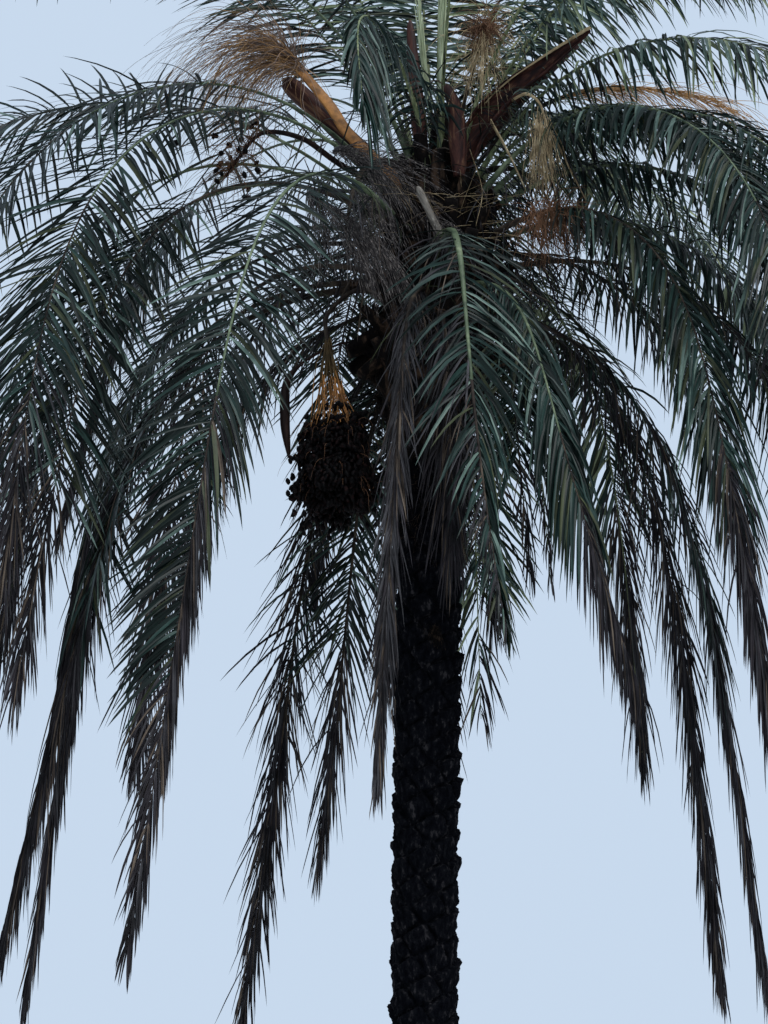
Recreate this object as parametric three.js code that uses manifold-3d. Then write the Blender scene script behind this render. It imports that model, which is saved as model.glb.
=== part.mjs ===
// A date palm tree: a rough trunk, a swollen boss of old leaf bases, arching and hanging feather
// fronds, a hanging bunch of dates, spent fruit stalks and woody spathes.
// Millimetres, +Z up. The origin is the centre of the flat cut at ground level. The viewer stands on
// the -Y side, and azimuths are counted from +X towards +Y, so 180 is the viewer's left.
import * as THREE from "three";
import { mergeVertices } from "three/addons/utils/BufferGeometryUtils.js";
import Module from "manifold-3d";

const wasm = await Module();
wasm.setup();

// Driving dimensions of the trunk and the boss
const TRUNK_TOP = 5250; // where the boss of leaf bases starts
const TRUNK_RADIUS = 169;
const ROOT_FLARE = 120; // added to the radius at ground level
const FLARE_HEIGHT = 330;
const SCAR_DEPTH = 26; // relief of the old leaf scars
const SCAR_PITCH = 265; // height of one row of scars
const SCAR_SPIRALS = 5;
const LEAN = 2.16e-6; // the trunk's axis leans by LEAN times height squared, towards +X
const BOSS_TOP = 7020;
const CLEARANCE = 0.5; // gap between pieces that meet

// Height and radius of the boss, from the trunk's top to the growing tip
const BOSS_PROFILE = [
  [5250, 176],
  [5420, 214],
  [5560, 262],
  [5720, 292],
  [5900, 296],
  [6150, 280],
  [6400, 246],
  [6650, 200],
  [6850, 146],
  [7020, 84],
];

// The lowest and highest frond leave the boss at these heights, in the order of their rise
const LOW_BASE = 6010;
const HIGH_BASE = 6880;
const LOW_RISE = -36;
const HIGH_RISE = 85;

// Driving dimensions of a frond
const BEND_POWER = 1.8;
const PETIOLE_SHARE = 0.15; // bare share of a frond's length
const PETIOLE_RINGS = 3;
const LEAFY_RINGS = 17;
const RIB_WIDTH = [92, 9]; // at the base and at the tip
const RIB_DEPTH = [48, 8];
const TURN = 42; // the fronds at the sides turn their upper face this far towards the viewer
const TWIST = 30; // range of the twist that each frond has of its own
const LEAFLET = 560; // length of the longest leaflets
const BLADE_SHARES = [1, 0.75, 0.5]; // lengths tried where there is less room
const PROBE_SPREAD = 8; // how much larger a blade is tried than it is made
const SPLIT_FRONDS = ["left_arch", "left_near", "left_outer", "right_arch", "right_outer"];
const BEND_RING = 9; // the ring where the widest arches are split in two
const BASE_SINK = 60; // a petiole starts this far inside the boss before the boss is cut out of it

// Each frond: name, azimuth at its base, rise of its base and fall of its tip above the horizontal,
// limpness (the share of its length over which it turns over; small is limp), length, sideways sway of
// its tip and dryness from 0, green, to 1, dead. The last ones name the neighbour that they share a
// base with, and are one piece with it.
const FRONDS = [
  ["left_arch", 204, 48, -86, 0.36, 4560, 6, 0.15],
  ["left_near", 238, 23, -78, 0.23, 5500, 4, 0.1],
  ["left_level", 166, 46, -60, 0.7, 4400, 0, 0.1],
  ["left_tail_near", 166, 4, -83, 0.28, 5000, 0, 0.6],
  ["left_tail_far", 175, 5, -78, 0.24, 4900, 0, 0.5],
  ["left_outer", 190, 38, -84, 0.36, 4600, 0, 0.3],
  ["left_thin_tail", 121, -14, -79, 0.24, 4450, 20, 0.7],
  ["left_herringbone", 114, -20, -80, 0.24, 3250, 20, 0.35],
  ["front_dead", 258, -14, -74, 0.16, 3350, 2, 1],
  ["front_green", 278, 16, -78, 0.16, 2900, 40, 0.05],
  ["front_right_low", 304, -22, -84, 0.25, 1850, 8, 0.3],
  ["back_right_short", 72, -20, -86, 0.22, 2400, 0, 0.5],
  ["right_near", 306, -8, -74, 0.18, 2800, 40, 0.2],
  ["right_near_arch", 325, 22, -82, 0.26, 4200, 0, 0.35],
  ["right_tail_near", 38, 0, -84, 0.28, 4700, 0, 0.7],
  ["right_tail_far", 22, -6, -83, 0.26, 4600, 0, 0.5],
  ["right_arch", 356, 60, -84, 0.34, 4600, 0, 0.05],
  ["right_outer", 338, 46, -84, 0.36, 4900, 0, 0.1],
  ["right_low", 345, 8, -80, 0.3, 4700, 0, 0.5],
  ["right_back_arch", 12, 30, -82, 0.34, 4800, 0, 0.2],
  ["right_back_high", 36, 50, -80, 0.45, 4600, 0, 0.1],
  ["top_centre", 84, 85, 30, 1.1, 3600, 0, 0],
  ["top_right", 10, 70, -10, 0.9, 3800, 0, 0],
  ["top_folded", 240, 78, -86, 0.55, 2350, 56, 0],
  ["top_left", 152, 68, -10, 0.9, 3800, 0, 0.05],
  ["top_right_near", 318, 72, -40, 0.6, 3800, 0, 0],
  ["top_left_near", 196, 76, -20, 0.8, 3600, 0, 0],
  ["top_near", 280, 82, -30, 0.7, 3200, 0, 0],
  ["back_left_high", 130, 66, -60, 0.55, 4200, 0, 0.05],
  ["back_right_high", 60, 62, -60, 0.6, 4300, 0, 0.05],
  ["back_high", 105, 48, -76, 0.45, 4100, 0, 0.15],
  ["back_left_arch", 146, 34, -82, 0.36, 4600, 0, 0.3],
  ["back_arch", 78, 34, -82, 0.36, 3100, 0, 0.3],
  ["back_right_arch", 52, 24, -84, 0.33, 3900, 0, 0.4],
  ["back_low", 98, 14, -84, 0.31, 2900, 0, 0.4],
  ["back_hanging", 88, -6, -86, 0.26, 2800, 0, 0.7],
  ["back_left_low", 168, -12, -84, 0.42, 2400, 0, 0.6],
  ["front_hanging", 275, -30, -84, 0.3, 1700, 0, 0.9],
  ["left_mid", 179, 34, -82, 0.32, 4600, -3, 0.35, "left_level"],
  ["left_inner", 201, 28, -82, 0.32, 4300, 4, 0.3, "left_outer"],
  ["left_behind", 156, 20, -82, 0.33, 4600, 4, 0.4, "back_left_arch"],
  ["left_high", 195, 56, -74, 0.42, 4400, -4, 0.05, "left_arch"],
  ["left_lower", 189, 16, -84, 0.25, 3600, 3, 0.6, "left_tail_far"],
  ["right_mid", 350, 36, -82, 0.32, 4700, 3, 0.2, "right_outer"],
  ["right_high", 343, 62, -68, 0.45, 4300, -3, 0.1, "right_arch"],
  ["right_behind", 26, 16, -84, 0.31, 4500, 2, 0.45, "right_back_arch"],
  ["right_front", 328, 50, -84, 0.33, 4500, 0, 0.15, "right_outer"],
  ["back_left_mid", 143, 56, -74, 0.42, 4300, 0, 0.1, "back_left_high"],
  ["back_right_mid", 72, 50, -76, 0.4, 3900, 0, 0.1, "back_right_high"],
  ["back_mid", 91, 58, -70, 0.5, 4300, 0, 0.1, "back_high"],
  ["back_left_outer", 134, 24, -82, 0.34, 4200, 0, 0.35, "back_left_arch"],
  ["top_left_front", 208, 68, -50, 0.55, 3900, 4, 0, "top_left_near"],
  ["top_right_front", 335, 70, -46, 0.6, 3900, 4, 0, "top_right_near"],
  ["top_back_right", 28, 76, -30, 0.8, 3700, 4, 0, "top_right"],
  ["top_back_left", 136, 80, -20, 0.9, 3800, -4, 0, "top_left"],
  ["top_tall", 102, 83, 10, 1.0, 3700, 4, 0, "top_centre"],
];

// Spent fruit stalks: name, azimuth, rise, fall, limpness, length, height of the base and length of
// the strands
const STALKS = [
  ["spent_stalk_left", 176, 66, -30, 0.8, 1700, 6850, 460],
  ["spent_stalk_front", 224, 56, -84, 0.4, 1100, 6750, 600],
  ["spent_stalk_right", 352, 68, -88, 0.34, 1400, 6750, 440],
  ["spent_stalk_back", 12, 62, -30, 0.7, 2000, 6800, 440],
  ["spent_stalk_top", 352, 83, 60, 0.9, 1100, 6880, 330],
];
const STALK_STRAND_START = 0.6; // share of the stalk's length where its strands start
const STALK_RINGS = 9;
const STALK_WIDTH = [62, 22];
const STALK_DEPTH = [34, 14];

// Woody spathes and a broken leaf stalk: name, azimuth, rise, fall, length, height of the base and
// greatest width
const SPATHES = [
  ["spathe_left", 184, 47, 42, 1080, 6760, 115],
  ["spathe_centre_right", 318, 84, 80, 640, 6880, 100],
  ["spathe_centre_left", 200, 84, 86, 780, 6880, 90],
  ["spathe_right", 344, 52, 38, 1300, 6900, 130],
  ["spathe_right_inner", 6, 54, 44, 1250, 6920, 84],
  ["broken_leaf_stalk", 256, 60, 50, 430, 6440, 60],
];
const SPATHE_RINGS = 5;

// The bunch of dates
const BUNCH = {
  centre: [-450, -210, 5155],
  width: 450,
  height: 640,
  stalkBase: 6120,
  stalkAzimuth: 197,
  neck: 770, // from the bunch's centre up to where its strands part
};
const HANGING_SPATHE = { top: [-665, -100, 5790], length: 470, width: 70 };

// Old leaf bases on the boss
const STUBS = 28;
const STUB_BAND = [5360, 6010];
const STUB_SIZE = { length: 190, rootWidth: 130, tipWidth: 84, rootDepth: 74, tipDepth: 34 };
const GOLDEN_ANGLE = 137.508;

const rad = THREE.MathUtils.degToRad;
const lerp = THREE.MathUtils.lerp;
const UP = new THREE.Vector3(0, 0, 1);

// A repeatable number from 0 to 1 for each pair of whole numbers
function noise(a, b) {
  const s = Math.sin(a * 12.9898 + b * 78.233) * 43758.5453;
  return s - Math.floor(s);
}

function axisX(z) {
  return LEAN * z * z;
}

// Direction from the axis at an azimuth in degrees
function outward(azimuth) {
  return new THREE.Vector3(Math.cos(rad(azimuth)), Math.sin(rad(azimuth)), 0);
}

function bossRadius(z) {
  const last = BOSS_PROFILE.length - 1;
  if (z <= BOSS_PROFILE[0][0]) return BOSS_PROFILE[0][1];
  for (let i = 0; i < last; i++) {
    const [z0, r0] = BOSS_PROFILE[i];
    const [z1, r1] = BOSS_PROFILE[i + 1];
    if (z <= z1) return lerp(r0, r1, (z - z0) / (z1 - z0));
  }
  return BOSS_PROFILE[last][1];
}

// A geometry with only shared positions, its faces turned outwards
function closed(geometry) {
  geometry.deleteAttribute("normal");
  geometry.deleteAttribute("uv");
  const merged = mergeVertices(geometry, 1e-3);
  const p = merged.getAttribute("position");
  const index = merged.getIndex().array;
  const [a, b, c] = [new THREE.Vector3(), new THREE.Vector3(), new THREE.Vector3()];
  let volume = 0;
  for (let i = 0; i < index.length; i += 3) {
    a.fromBufferAttribute(p, index[i]);
    b.fromBufferAttribute(p, index[i + 1]);
    c.fromBufferAttribute(p, index[i + 2]);
    volume += a.dot(b.cross(c));
  }
  if (volume < 0) {
    for (let i = 0; i < index.length; i += 3) {
      [index[i + 1], index[i + 2]] = [index[i + 2], index[i + 1]];
    }
  }
  return merged;
}

// A closed geometry as a solid that can be joined and cut
function toSolid(geometry) {
  return new wasm.Manifold(
    new wasm.Mesh({
      numProp: 3,
      vertProperties: new Float32Array(geometry.getAttribute("position").array),
      triVerts: new Uint32Array(geometry.getIndex().array),
    }),
  );
}

// A solid's largest piece as a geometry
function toGeometry(solid) {
  const pieces = solid.decompose().sort((a, b) => b.volume() - a.volume());
  const mesh = pieces[0].getMesh();
  return new THREE.BufferGeometry()
    .setAttribute("position", new THREE.BufferAttribute(new Float32Array(mesh.vertProperties), 3))
    .setIndex(new THREE.BufferAttribute(new Uint32Array(mesh.triVerts), 1));
}

// A closed tube. place(along, around, out) gives a point for the share of the length, the angle and
// 1 on the tube's wall or 0 at the centre of an end.
function tube(sides, rings, place) {
  const geometry = new THREE.CylinderGeometry(1, 1, 1, sides, rings);
  const position = geometry.getAttribute("position");
  for (let i = 0; i < position.count; i++) {
    const along = 0.5 - position.getY(i);
    const out = Math.min(1, Math.hypot(position.getX(i), position.getZ(i)));
    const around = Math.atan2(position.getZ(i), position.getX(i));
    const p = place(along, around, out);
    position.setXYZ(i, p.x, p.y, p.z);
  }
  return closed(geometry);
}

// Relief of the old leaf scars: spiral rows of steps, each with its lip at the top
function scarRelief(z, around) {
  const row = z / SCAR_PITCH + (SCAR_SPIRALS * around) / (2 * Math.PI);
  return SCAR_DEPTH * (row - Math.floor(row));
}

function trunkRadius(z, around) {
  const flare = ROOT_FLARE * Math.exp(-z / FLARE_HEIGHT);
  const buttress = 1 + 0.12 * Math.cos(7 * around);
  return TRUNK_RADIUS - SCAR_DEPTH / 2 + flare * buttress + scarRelief(z, around);
}

function trunkGeometry() {
  const sides = 16;
  const rings = 38;
  return tube(sides, rings, (along, around, out) => {
    const z = along * (TRUNK_TOP - CLEARANCE);
    const r = out * (along === 0 || along === 1 ? trunkRadius(z, 0) : trunkRadius(z, around));
    return new THREE.Vector3(axisX(z) + r * Math.cos(around), r * Math.sin(around), z);
  });
}

// The boss, or with a margin the space that other pieces keep out of
function bossGeometry(margin) {
  const sides = 14;
  const rings = 11;
  return tube(sides, rings, (along, around, out) => {
    const z = lerp(TRUNK_TOP - margin, BOSS_TOP + margin, along);
    const r = out * (bossRadius(z) * (1 + 0.05 * Math.cos(5 * around + z / 90)) + margin);
    return new THREE.Vector3(axisX(z) + r * Math.cos(around), r * Math.sin(around), z);
  });
}

// The line that a frond, stalk or spathe follows: it leaves the boss at its rise and turns down to
// its fall, faster the limper it is. Each station has its place, tangent, side and upper normal.
function growthLine({ azimuth, rise, fall, limp, length, level, sway, twist, shares }) {
  const place = outward(azimuth).multiplyScalar(bossRadius(level) - BASE_SINK);
  place.add(new THREE.Vector3(axisX(level), 0, level));
  const steps = 60;
  const path = [];
  for (let i = 0; i <= steps; i++) {
    const u = i / steps;
    const pitch = rad(rise + (fall - rise) * (1 - Math.exp(-Math.pow(u / limp, BEND_POWER))));
    const heading = azimuth + sway * u * u;
    const tangent = outward(heading).multiplyScalar(Math.cos(pitch)).addScaledVector(UP, Math.sin(pitch));
    const side = outward(heading + 90).applyAxisAngle(tangent, rad(twist * Math.min(1, 2.2 * u)));
    path.push({ place: place.clone(), tangent, side, normal: tangent.clone().cross(side) });
    place.addScaledVector(tangent, length / steps);
  }
  return shares.map((u) => {
    const i = Math.min(steps - 1, Math.floor(u * steps));
    const t = u * steps - i;
    return {
      u,
      place: path[i].place.clone().lerp(path[i + 1].place, t),
      tangent: path[i].tangent.clone().lerp(path[i + 1].tangent, t).normalize(),
      side: path[i].side.clone().lerp(path[i + 1].side, t).normalize(),
      normal: path[i].normal.clone().lerp(path[i + 1].normal, t).normalize(),
    };
  });
}

// The three corners of a rib at a station: left, right and the keel below
function corners(station, width, depth) {
  const signs = [
    [0.5, 0.5],
    [-0.5, 0.5],
    [0, -0.5],
  ];
  return signs.map(([s, n]) =>
    station.place
      .clone()
      .addScaledVector(station.side, s * width)
      .addScaledVector(station.normal, n * depth),
  );
}

// A keeled rib. tipOf(segment, side) gives the point of the leaflet blade that stands on that side of
// the segment, side 1 or -1, or 0 for the end of the rib, and nothing where there is no blade.
function bladeGeometry(stations, widthAt, depthAt, tipOf) {
  const points = [];
  const faces = [];
  for (const s of stations) points.push(...corners(s, widthAt(s.u), depthAt(s.u)));
  const quad = (a, b, c, d, apex) => {
    if (!apex) {
      faces.push([a, b, c], [a, c, d]);
      return;
    }
    const e = points.push(apex) - 1;
    faces.push([a, b, e], [b, c, e], [c, d, e], [d, a, e]);
  };
  const last = stations.length - 1;
  for (let i = 0; i < last; i++) {
    const [a, b] = [3 * i, 3 * i + 3];
    quad(a, a + 1, b + 1, b);
    quad(a + 1, a + 2, b + 2, b + 1, tipOf(i, -1));
    quad(a + 2, a, b, b + 2, tipOf(i, 1));
  }
  faces.push([2, 1, 0]);
  const end = 3 * last;
  const endTip = tipOf(last, 0);
  if (endTip) {
    const e = points.push(endTip) - 1;
    faces.push([end, end + 1, e], [end + 1, end + 2, e], [end + 2, end, e]);
  } else {
    faces.push([end, end + 1, end + 2]);
  }
  const geometry = new THREE.BufferGeometry().setFromPoints(points);
  geometry.setIndex(faces.flat());
  return closed(geometry);
}

// Direction of a leaflet: forward and sideways from the rib, lifted on a young frond, drooping
// under its weight, more so on an old one.
function leafletDirection(station, t, side, dryness) {
  const angle = rad(lerp(64, 30, t) * (1 - 0.5 * dryness));
  return station.tangent
    .clone()
    .multiplyScalar(Math.cos(angle))
    .addScaledVector(station.side, side * Math.sin(angle))
    .addScaledVector(station.normal, 0.1)
    .addScaledVector(UP, -lerp(0.28, 0.62, dryness))
    .normalize();
}

// Length of a leaflet at a share t of the leafy stretch
function leafletLength(t) {
  return LEAFLET * (0.42 + 0.58 * Math.sin(Math.PI * Math.min(1, 0.14 + 0.72 * t)));
}

function ribWidth(u) {
  return lerp(RIB_WIDTH[0], RIB_WIDTH[1], Math.pow(u, 0.62));
}

function ribDepth(u) {
  return lerp(RIB_DEPTH[0], RIB_DEPTH[1], Math.pow(u, 0.62));
}

// A solid's box, for quick tests of what can touch it
function boxed(solid) {
  const { min, max } = solid.boundingBox();
  return { solid, min, max };
}

function touches(a, b) {
  for (let i = 0; i < 3; i++) if (a.max[i] < b.min[i] || b.max[i] < a.min[i]) return false;
  return a.solid.intersect(b.solid).volume() > 0;
}

// What each piece must stay clear of: [{owner, solid, min, max}]
const obstacles = [];

// A little more than the space of each piece that is in place; the next pieces are cut by it.
// Pieces of one group, such as fronds that share a base, don't cut each other.
const rooms = [{ group: "leaf_base_boss", ...boxed(toSolid(bossGeometry(CLEARANCE))) }];

function cutBy(solid, inPlace) {
  let cut = solid;
  for (const room of inPlace) if (touches(room, boxed(cut))) cut = cut.subtract(room.solid);
  return cut;
}

// Cuts a piece clear of all that is in place, then takes up its own space
function seat(owner, solid, roomSolid) {
  const cut = cutBy(solid, rooms);
  obstacles.push({ owner, ...boxed(cut) });
  rooms.push({ group: owner, ...boxed(roomSolid) });
  return cut;
}

// Takes up the space of a rib, and remembers what its piece is to be cut by
function seatRib(owner, group, stations, widthAt, depthAt) {
  const rib = (margin) =>
    bladeGeometry(
      stations,
      (u) => widthAt(u) + 2 * margin,
      (u) => depthAt(u) + 2 * margin,
      () => null,
    );
  const inPlace = rooms.filter((room) => room.group !== group);
  obstacles.push({ owner, ...boxed(toSolid(rib(0))) });
  rooms.push({ group, ...boxed(toSolid(rib(1.5 * CLEARANCE))) });
  return { name: owner, group, stations, inPlace, widthAt, depthAt };
}

// The piece of a seated rib from one station to another, with its blades
function ribPiece({ stations, inPlace, widthAt, depthAt, tips }, from, to) {
  const tipOf = (i, side) => tips[side][from + i];
  const whole = toSolid(bladeGeometry(stations.slice(from, to + 1), widthAt, depthAt, tipOf));
  return from === 0 ? cutBy(whole, inPlace) : whole;
}

function clearOf(owner, probe) {
  return obstacles.every((o) => o.owner === owner || !touches(o, probe));
}

// A single blade a little larger than life, to test whether there is room for it
function bladeProbe(station, next, side, width, depth, apex) {
  const root = [station, next].flatMap((s) => {
    const [left, right, keel] = corners(s, width + PROBE_SPREAD, depth + PROBE_SPREAD);
    return side > 0 ? [left, keel] : [right, keel];
  });
  const tip = apex.clone().sub(station.place).setLength(PROBE_SPREAD).add(apex);
  const geometry = new THREE.BufferGeometry().setFromPoints([...root, tip]);
  geometry.setIndex([0, 1, 3, 0, 3, 2, 0, 4, 1, 1, 4, 3, 3, 4, 2, 2, 4, 0]);
  return boxed(toSolid(closed(geometry)));
}

// The tip of each blade along a rib, as far out as the space beside the rib allows.
// reachOf(station, segment, side) and directionOf(station, side) say where a blade would end.
function bladeTips({ name, stations, widthAt, depthAt }, first, reachOf, directionOf) {
  const last = stations.length - 1;
  const tips = { 1: [], [-1]: [], 0: new Array(last) };
  for (let i = first; i < last; i++) {
    const [s, next] = [stations[i], stations[i + 1]];
    const middle = s.place.clone().lerp(next.place, 0.5);
    for (const side of [1, -1]) {
      for (const share of BLADE_SHARES) {
        const reach = share * reachOf(s, i, side);
        const apex = middle.clone().addScaledVector(directionOf(s, side), reach);
        const probe = bladeProbe(s, next, side, widthAt(s.u), depthAt(s.u), apex);
        if (clearOf(name, probe)) {
          obstacles.push({ owner: name, ...probe });
          tips[side][i] = apex;
          break;
        }
      }
    }
  }
  return tips;
}

const trunk = toSolid(trunkGeometry());

// A frond's stations: the bare petiole's rings, then the leafy rings
const frondShares = [];
for (let i = 0; i < PETIOLE_RINGS; i++) frondShares.push((PETIOLE_SHARE * i) / PETIOLE_RINGS);
for (let i = 0; i <= LEAFY_RINGS; i++) {
  frondShares.push(PETIOLE_SHARE + ((1 - PETIOLE_SHARE) * 0.95 * i) / LEAFY_RINGS);
}

function frondLine([, azimuth, rise, fall, limp, length, sway], level, number) {
  const twist = TURN * Math.cos(rad(azimuth)) + TWIST * (noise(number, 3) - 0.5);
  return growthLine({ azimuth, rise, fall, limp, length, level, sway, twist, shares: frondShares });
}

const stalkShares = Array.from({ length: STALK_RINGS + 1 }, (_, i) => i / STALK_RINGS);

function stalkLine([, azimuth, rise, fall, limp, length, level]) {
  const shares = stalkShares;
  return growthLine({ azimuth, rise, fall, limp, length, level, sway: 0, twist: 0, shares });
}

function stalkWidth(u) {
  return lerp(STALK_WIDTH[0], STALK_WIDTH[1], u);
}

function stalkDepth(u) {
  return lerp(STALK_DEPTH[0], STALK_DEPTH[1], u);
}

// The strands at the end of a spent stalk droop
function strandDirection(station, side) {
  return station.tangent
    .clone()
    .multiplyScalar(0.7)
    .addScaledVector(station.side, side * 0.5)
    .addScaledVector(UP, -0.75)
    .normalize();
}

// A woody spathe: a boat shape that is thin at both ends
function spatheGeometry([, azimuth, rise, fall, length, level, width], margin) {
  const shares = Array.from({ length: SPATHE_RINGS + 1 }, (_, i) => i / SPATHE_RINGS);
  const stations = growthLine({
    azimuth,
    rise,
    fall,
    limp: 0.8,
    length,
    level,
    sway: 0,
    twist: 0,
    shares,
  });
  return tube(6, SPATHE_RINGS, (along, around, out) => {
    const s = stations[Math.round(along * SPATHE_RINGS)];
    const girth = (width / 2) * (0.3 + 0.7 * Math.sin(Math.PI * Math.min(1, 0.25 + 0.7 * along)));
    return s.place
      .clone()
      .addScaledVector(s.side, out * (girth + margin) * Math.cos(around))
      .addScaledVector(s.normal, out * (0.5 * girth + margin) * Math.sin(around));
  });
}

// The stalk of the bunch, its strands and its mass of dates, joined
function bunchGeometry() {
  const centre = new THREE.Vector3(...BUNCH.centre);
  const neck = centre.clone().addScaledVector(UP, BUNCH.neck);
  const out = outward(BUNCH.stalkAzimuth);
  const root = out.clone().multiplyScalar(bossRadius(BUNCH.stalkBase) - BASE_SINK);
  root.add(new THREE.Vector3(axisX(BUNCH.stalkBase), 0, BUNCH.stalkBase));
  const over = root.clone().addScaledVector(out, 150).addScaledVector(UP, 60);
  const curve = new THREE.CatmullRomCurve3([root, over, neck.clone().addScaledVector(UP, 90), neck]);
  const stalk = tube(6, 8, (along, around, wall) => {
    const r = wall * lerp(24, 17, along);
    const across = new THREE.Vector3(r * Math.cos(around), r * Math.sin(around), 0);
    const turn = new THREE.Quaternion().setFromUnitVectors(UP, curve.getTangent(along));
    return curve.getPoint(along).add(across.applyQuaternion(turn));
  });
  const strands = tube(9, 3, (along, around, wall) => {
    const r = wall * lerp(16, BUNCH.width * 0.3, Math.pow(along, 1.3));
    const z = lerp(neck.z + 12, centre.z + BUNCH.height * 0.3, along);
    return new THREE.Vector3(centre.x + r * Math.cos(around), centre.y + r * Math.sin(around), z);
  });
  const mass = new THREE.SphereGeometry(1, 12, 9);
  const position = mass.getAttribute("position");
  for (let i = 0; i < position.count; i++) {
    const [x, y, z] = [position.getX(i), position.getY(i), position.getZ(i)].map((v) => Math.fround(v));
    const lump = 1 + 0.1 * (noise(Math.round(9 * x) + 40, Math.round(9 * y) + 7 * Math.round(9 * z)) - 0.5);
    const girth = (BUNCH.width / 2) * lump * (1 - 0.12 * y);
    position.setXYZ(i, centre.x + girth * x, centre.y + girth * z, centre.z + (BUNCH.height / 2) * y * lump);
  }
  let bunch = toSolid(closed(mass)).add(toSolid(strands)).add(toSolid(stalk));
  const dates = 18;
  for (let i = 0; i < dates; i++) {
    const lift = Math.asin(2 * ((i + 0.5) / dates) - 1);
    const turn = rad(GOLDEN_ANGLE * i);
    const girth = 0.47 * BUNCH.width * Math.cos(lift) * (1 - 0.12 * Math.sin(lift));
    const date = new THREE.OctahedronGeometry(1, 0);
    date.scale(15, 15, 26);
    date.translate(
      centre.x + girth * Math.cos(turn),
      centre.y + girth * Math.sin(turn),
      centre.z + 0.48 * BUNCH.height * Math.sin(lift),
    );
    bunch = bunch.add(toSolid(closed(date)));
  }
  return bunch;
}

// The spathe that hangs beside the bunch, on a thin stalk from the boss
function hangingSpatheGeometry() {
  const top = new THREE.Vector3(...HANGING_SPATHE.top);
  const azimuth = THREE.MathUtils.radToDeg(Math.atan2(top.y, top.x));
  const level = top.z + 170;
  const root = outward(azimuth).multiplyScalar(bossRadius(level) - BASE_SINK);
  root.add(new THREE.Vector3(axisX(level), 0, level));
  const foot = top.clone().addScaledVector(UP, -HANGING_SPATHE.length);
  const shoulder = root.clone().lerp(top, 0.55).addScaledVector(UP, 60);
  const bow = top.clone().lerp(foot, 0.5).add(new THREE.Vector3(-40, 0, 0));
  const curve = new THREE.CatmullRomCurve3([root, shoulder, top, bow, foot]);
  return tube(6, 14, (along, around, wall) => {
    const pod = Math.sin(Math.PI * THREE.MathUtils.clamp((along - 0.42) / 0.58, 0, 1));
    const r = wall * (10 + (HANGING_SPATHE.width / 2) * pod);
    const turn = new THREE.Quaternion().setFromUnitVectors(UP, curve.getTangent(along));
    const across = new THREE.Vector3(r * Math.cos(around), 0.6 * r * Math.sin(around), 0);
    return curve.getPoint(along).add(across.applyQuaternion(turn));
  });
}

// The unopened leaves that stand on the growing tip
function spearSolid() {
  const spears = [
    [40, 3, 2000, 30],
    [160, 5, 1700, 27],
    [285, 4, 1850, 28],
  ];
  const parts = spears.map(([azimuth, tilt, length, radius]) => {
    const spear = new THREE.CylinderGeometry(3, radius, length, 6, 2);
    spear.translate(0, length / 2, 0);
    spear.rotateX(Math.PI / 2);
    spear.applyQuaternion(
      new THREE.Quaternion().setFromUnitVectors(
        UP,
        outward(azimuth).multiplyScalar(Math.sin(rad(tilt))).addScaledVector(UP, Math.cos(rad(tilt))),
      ),
    );
    const foot = outward(azimuth).multiplyScalar(22);
    spear.translate(axisX(BOSS_TOP) + foot.x, foot.y, BOSS_TOP - 60);
    return toSolid(closed(spear));
  });
  return parts[0].add(parts[1]).add(parts[2]);
}

// One old leaf base that stands out of the boss, cut off short
function stubSolid(number) {
  const level = lerp(STUB_BAND[0], STUB_BAND[1], (number + 0.5) / STUBS);
  const azimuth = GOLDEN_ANGLE * number + 20;
  const share = number / STUBS;
  const { length, rootWidth, tipWidth, rootDepth, tipDepth } = STUB_SIZE;
  const stub = new THREE.BoxGeometry(1, 1, 1);
  const position = stub.getAttribute("position");
  const pitch = rad(lerp(52, 24, share) + 16 * (noise(number, 8) - 0.5));
  const along = outward(azimuth).multiplyScalar(Math.cos(pitch)).addScaledVector(UP, Math.sin(pitch));
  const side = outward(azimuth + 90);
  const normal = along.clone().cross(side);
  const reach = length * lerp(0.45, 1.1, share) * (0.75 + 0.5 * noise(number, 9));
  const root = outward(azimuth).multiplyScalar(bossRadius(level) - 50);
  root.add(new THREE.Vector3(axisX(level), 0, level));
  for (let i = 0; i < position.count; i++) {
    const t = position.getX(i) + 0.5;
    const p = root
      .clone()
      .addScaledVector(along, t * (reach + 50))
      .addScaledVector(side, position.getY(i) * lerp(rootWidth, tipWidth, t))
      .addScaledVector(normal, position.getZ(i) * lerp(rootDepth, tipDepth, t));
    position.setXYZ(i, p.x, p.y, p.z);
  }
  return toSolid(closed(stub));
}

const trunkPiece = seat("trunk", trunk, trunk);
const bunch = seat("date_bunch", bunchGeometry(), bunchGeometry());
const spears = seat("spear_leaves", spearSolid(), spearSolid());
const spathes = SPATHES.map((row) => ({
  name: row[0],
  solid: seat(row[0], toSolid(spatheGeometry(row, 0)), toSolid(spatheGeometry(row, CLEARANCE))),
}));
const hanging = toSolid(hangingSpatheGeometry());
spathes.push({ name: "spathe_hanging", solid: seat("spathe_hanging", hanging, hanging) });
const stalks = STALKS.map((row) => seatRib(row[0], row[0], stalkLine(row), stalkWidth, stalkDepth));

// All fronds as bare ribs first, so that no leaflet is put where another frond's rib is. A frond that
// shares a neighbour's base starts at that neighbour's height and isn't cut by it.
const rowOf = new Map(FRONDS.map((row) => [row[0], row]));
const fronds = FRONDS.map((row, number) => {
  const host = row[8] ?? row[0];
  const [, , rise] = rowOf.get(host);
  const level = THREE.MathUtils.mapLinear(rise, LOW_RISE, HIGH_RISE, LOW_BASE, HIGH_BASE);
  return seatRib(row[0], host, frondLine(row, level, number), ribWidth, ribDepth);
});

// The boss with the leaf bases that touch nothing else
let boss = toSolid(bossGeometry(0));
for (let i = 0; i < STUBS; i++) {
  const stub = stubSolid(i);
  if (clearOf("leaf_base_boss", boxed(stub))) boss = boss.add(stub);
}
obstacles.push({ owner: "leaf_base_boss", ...boxed(boss) });

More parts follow.
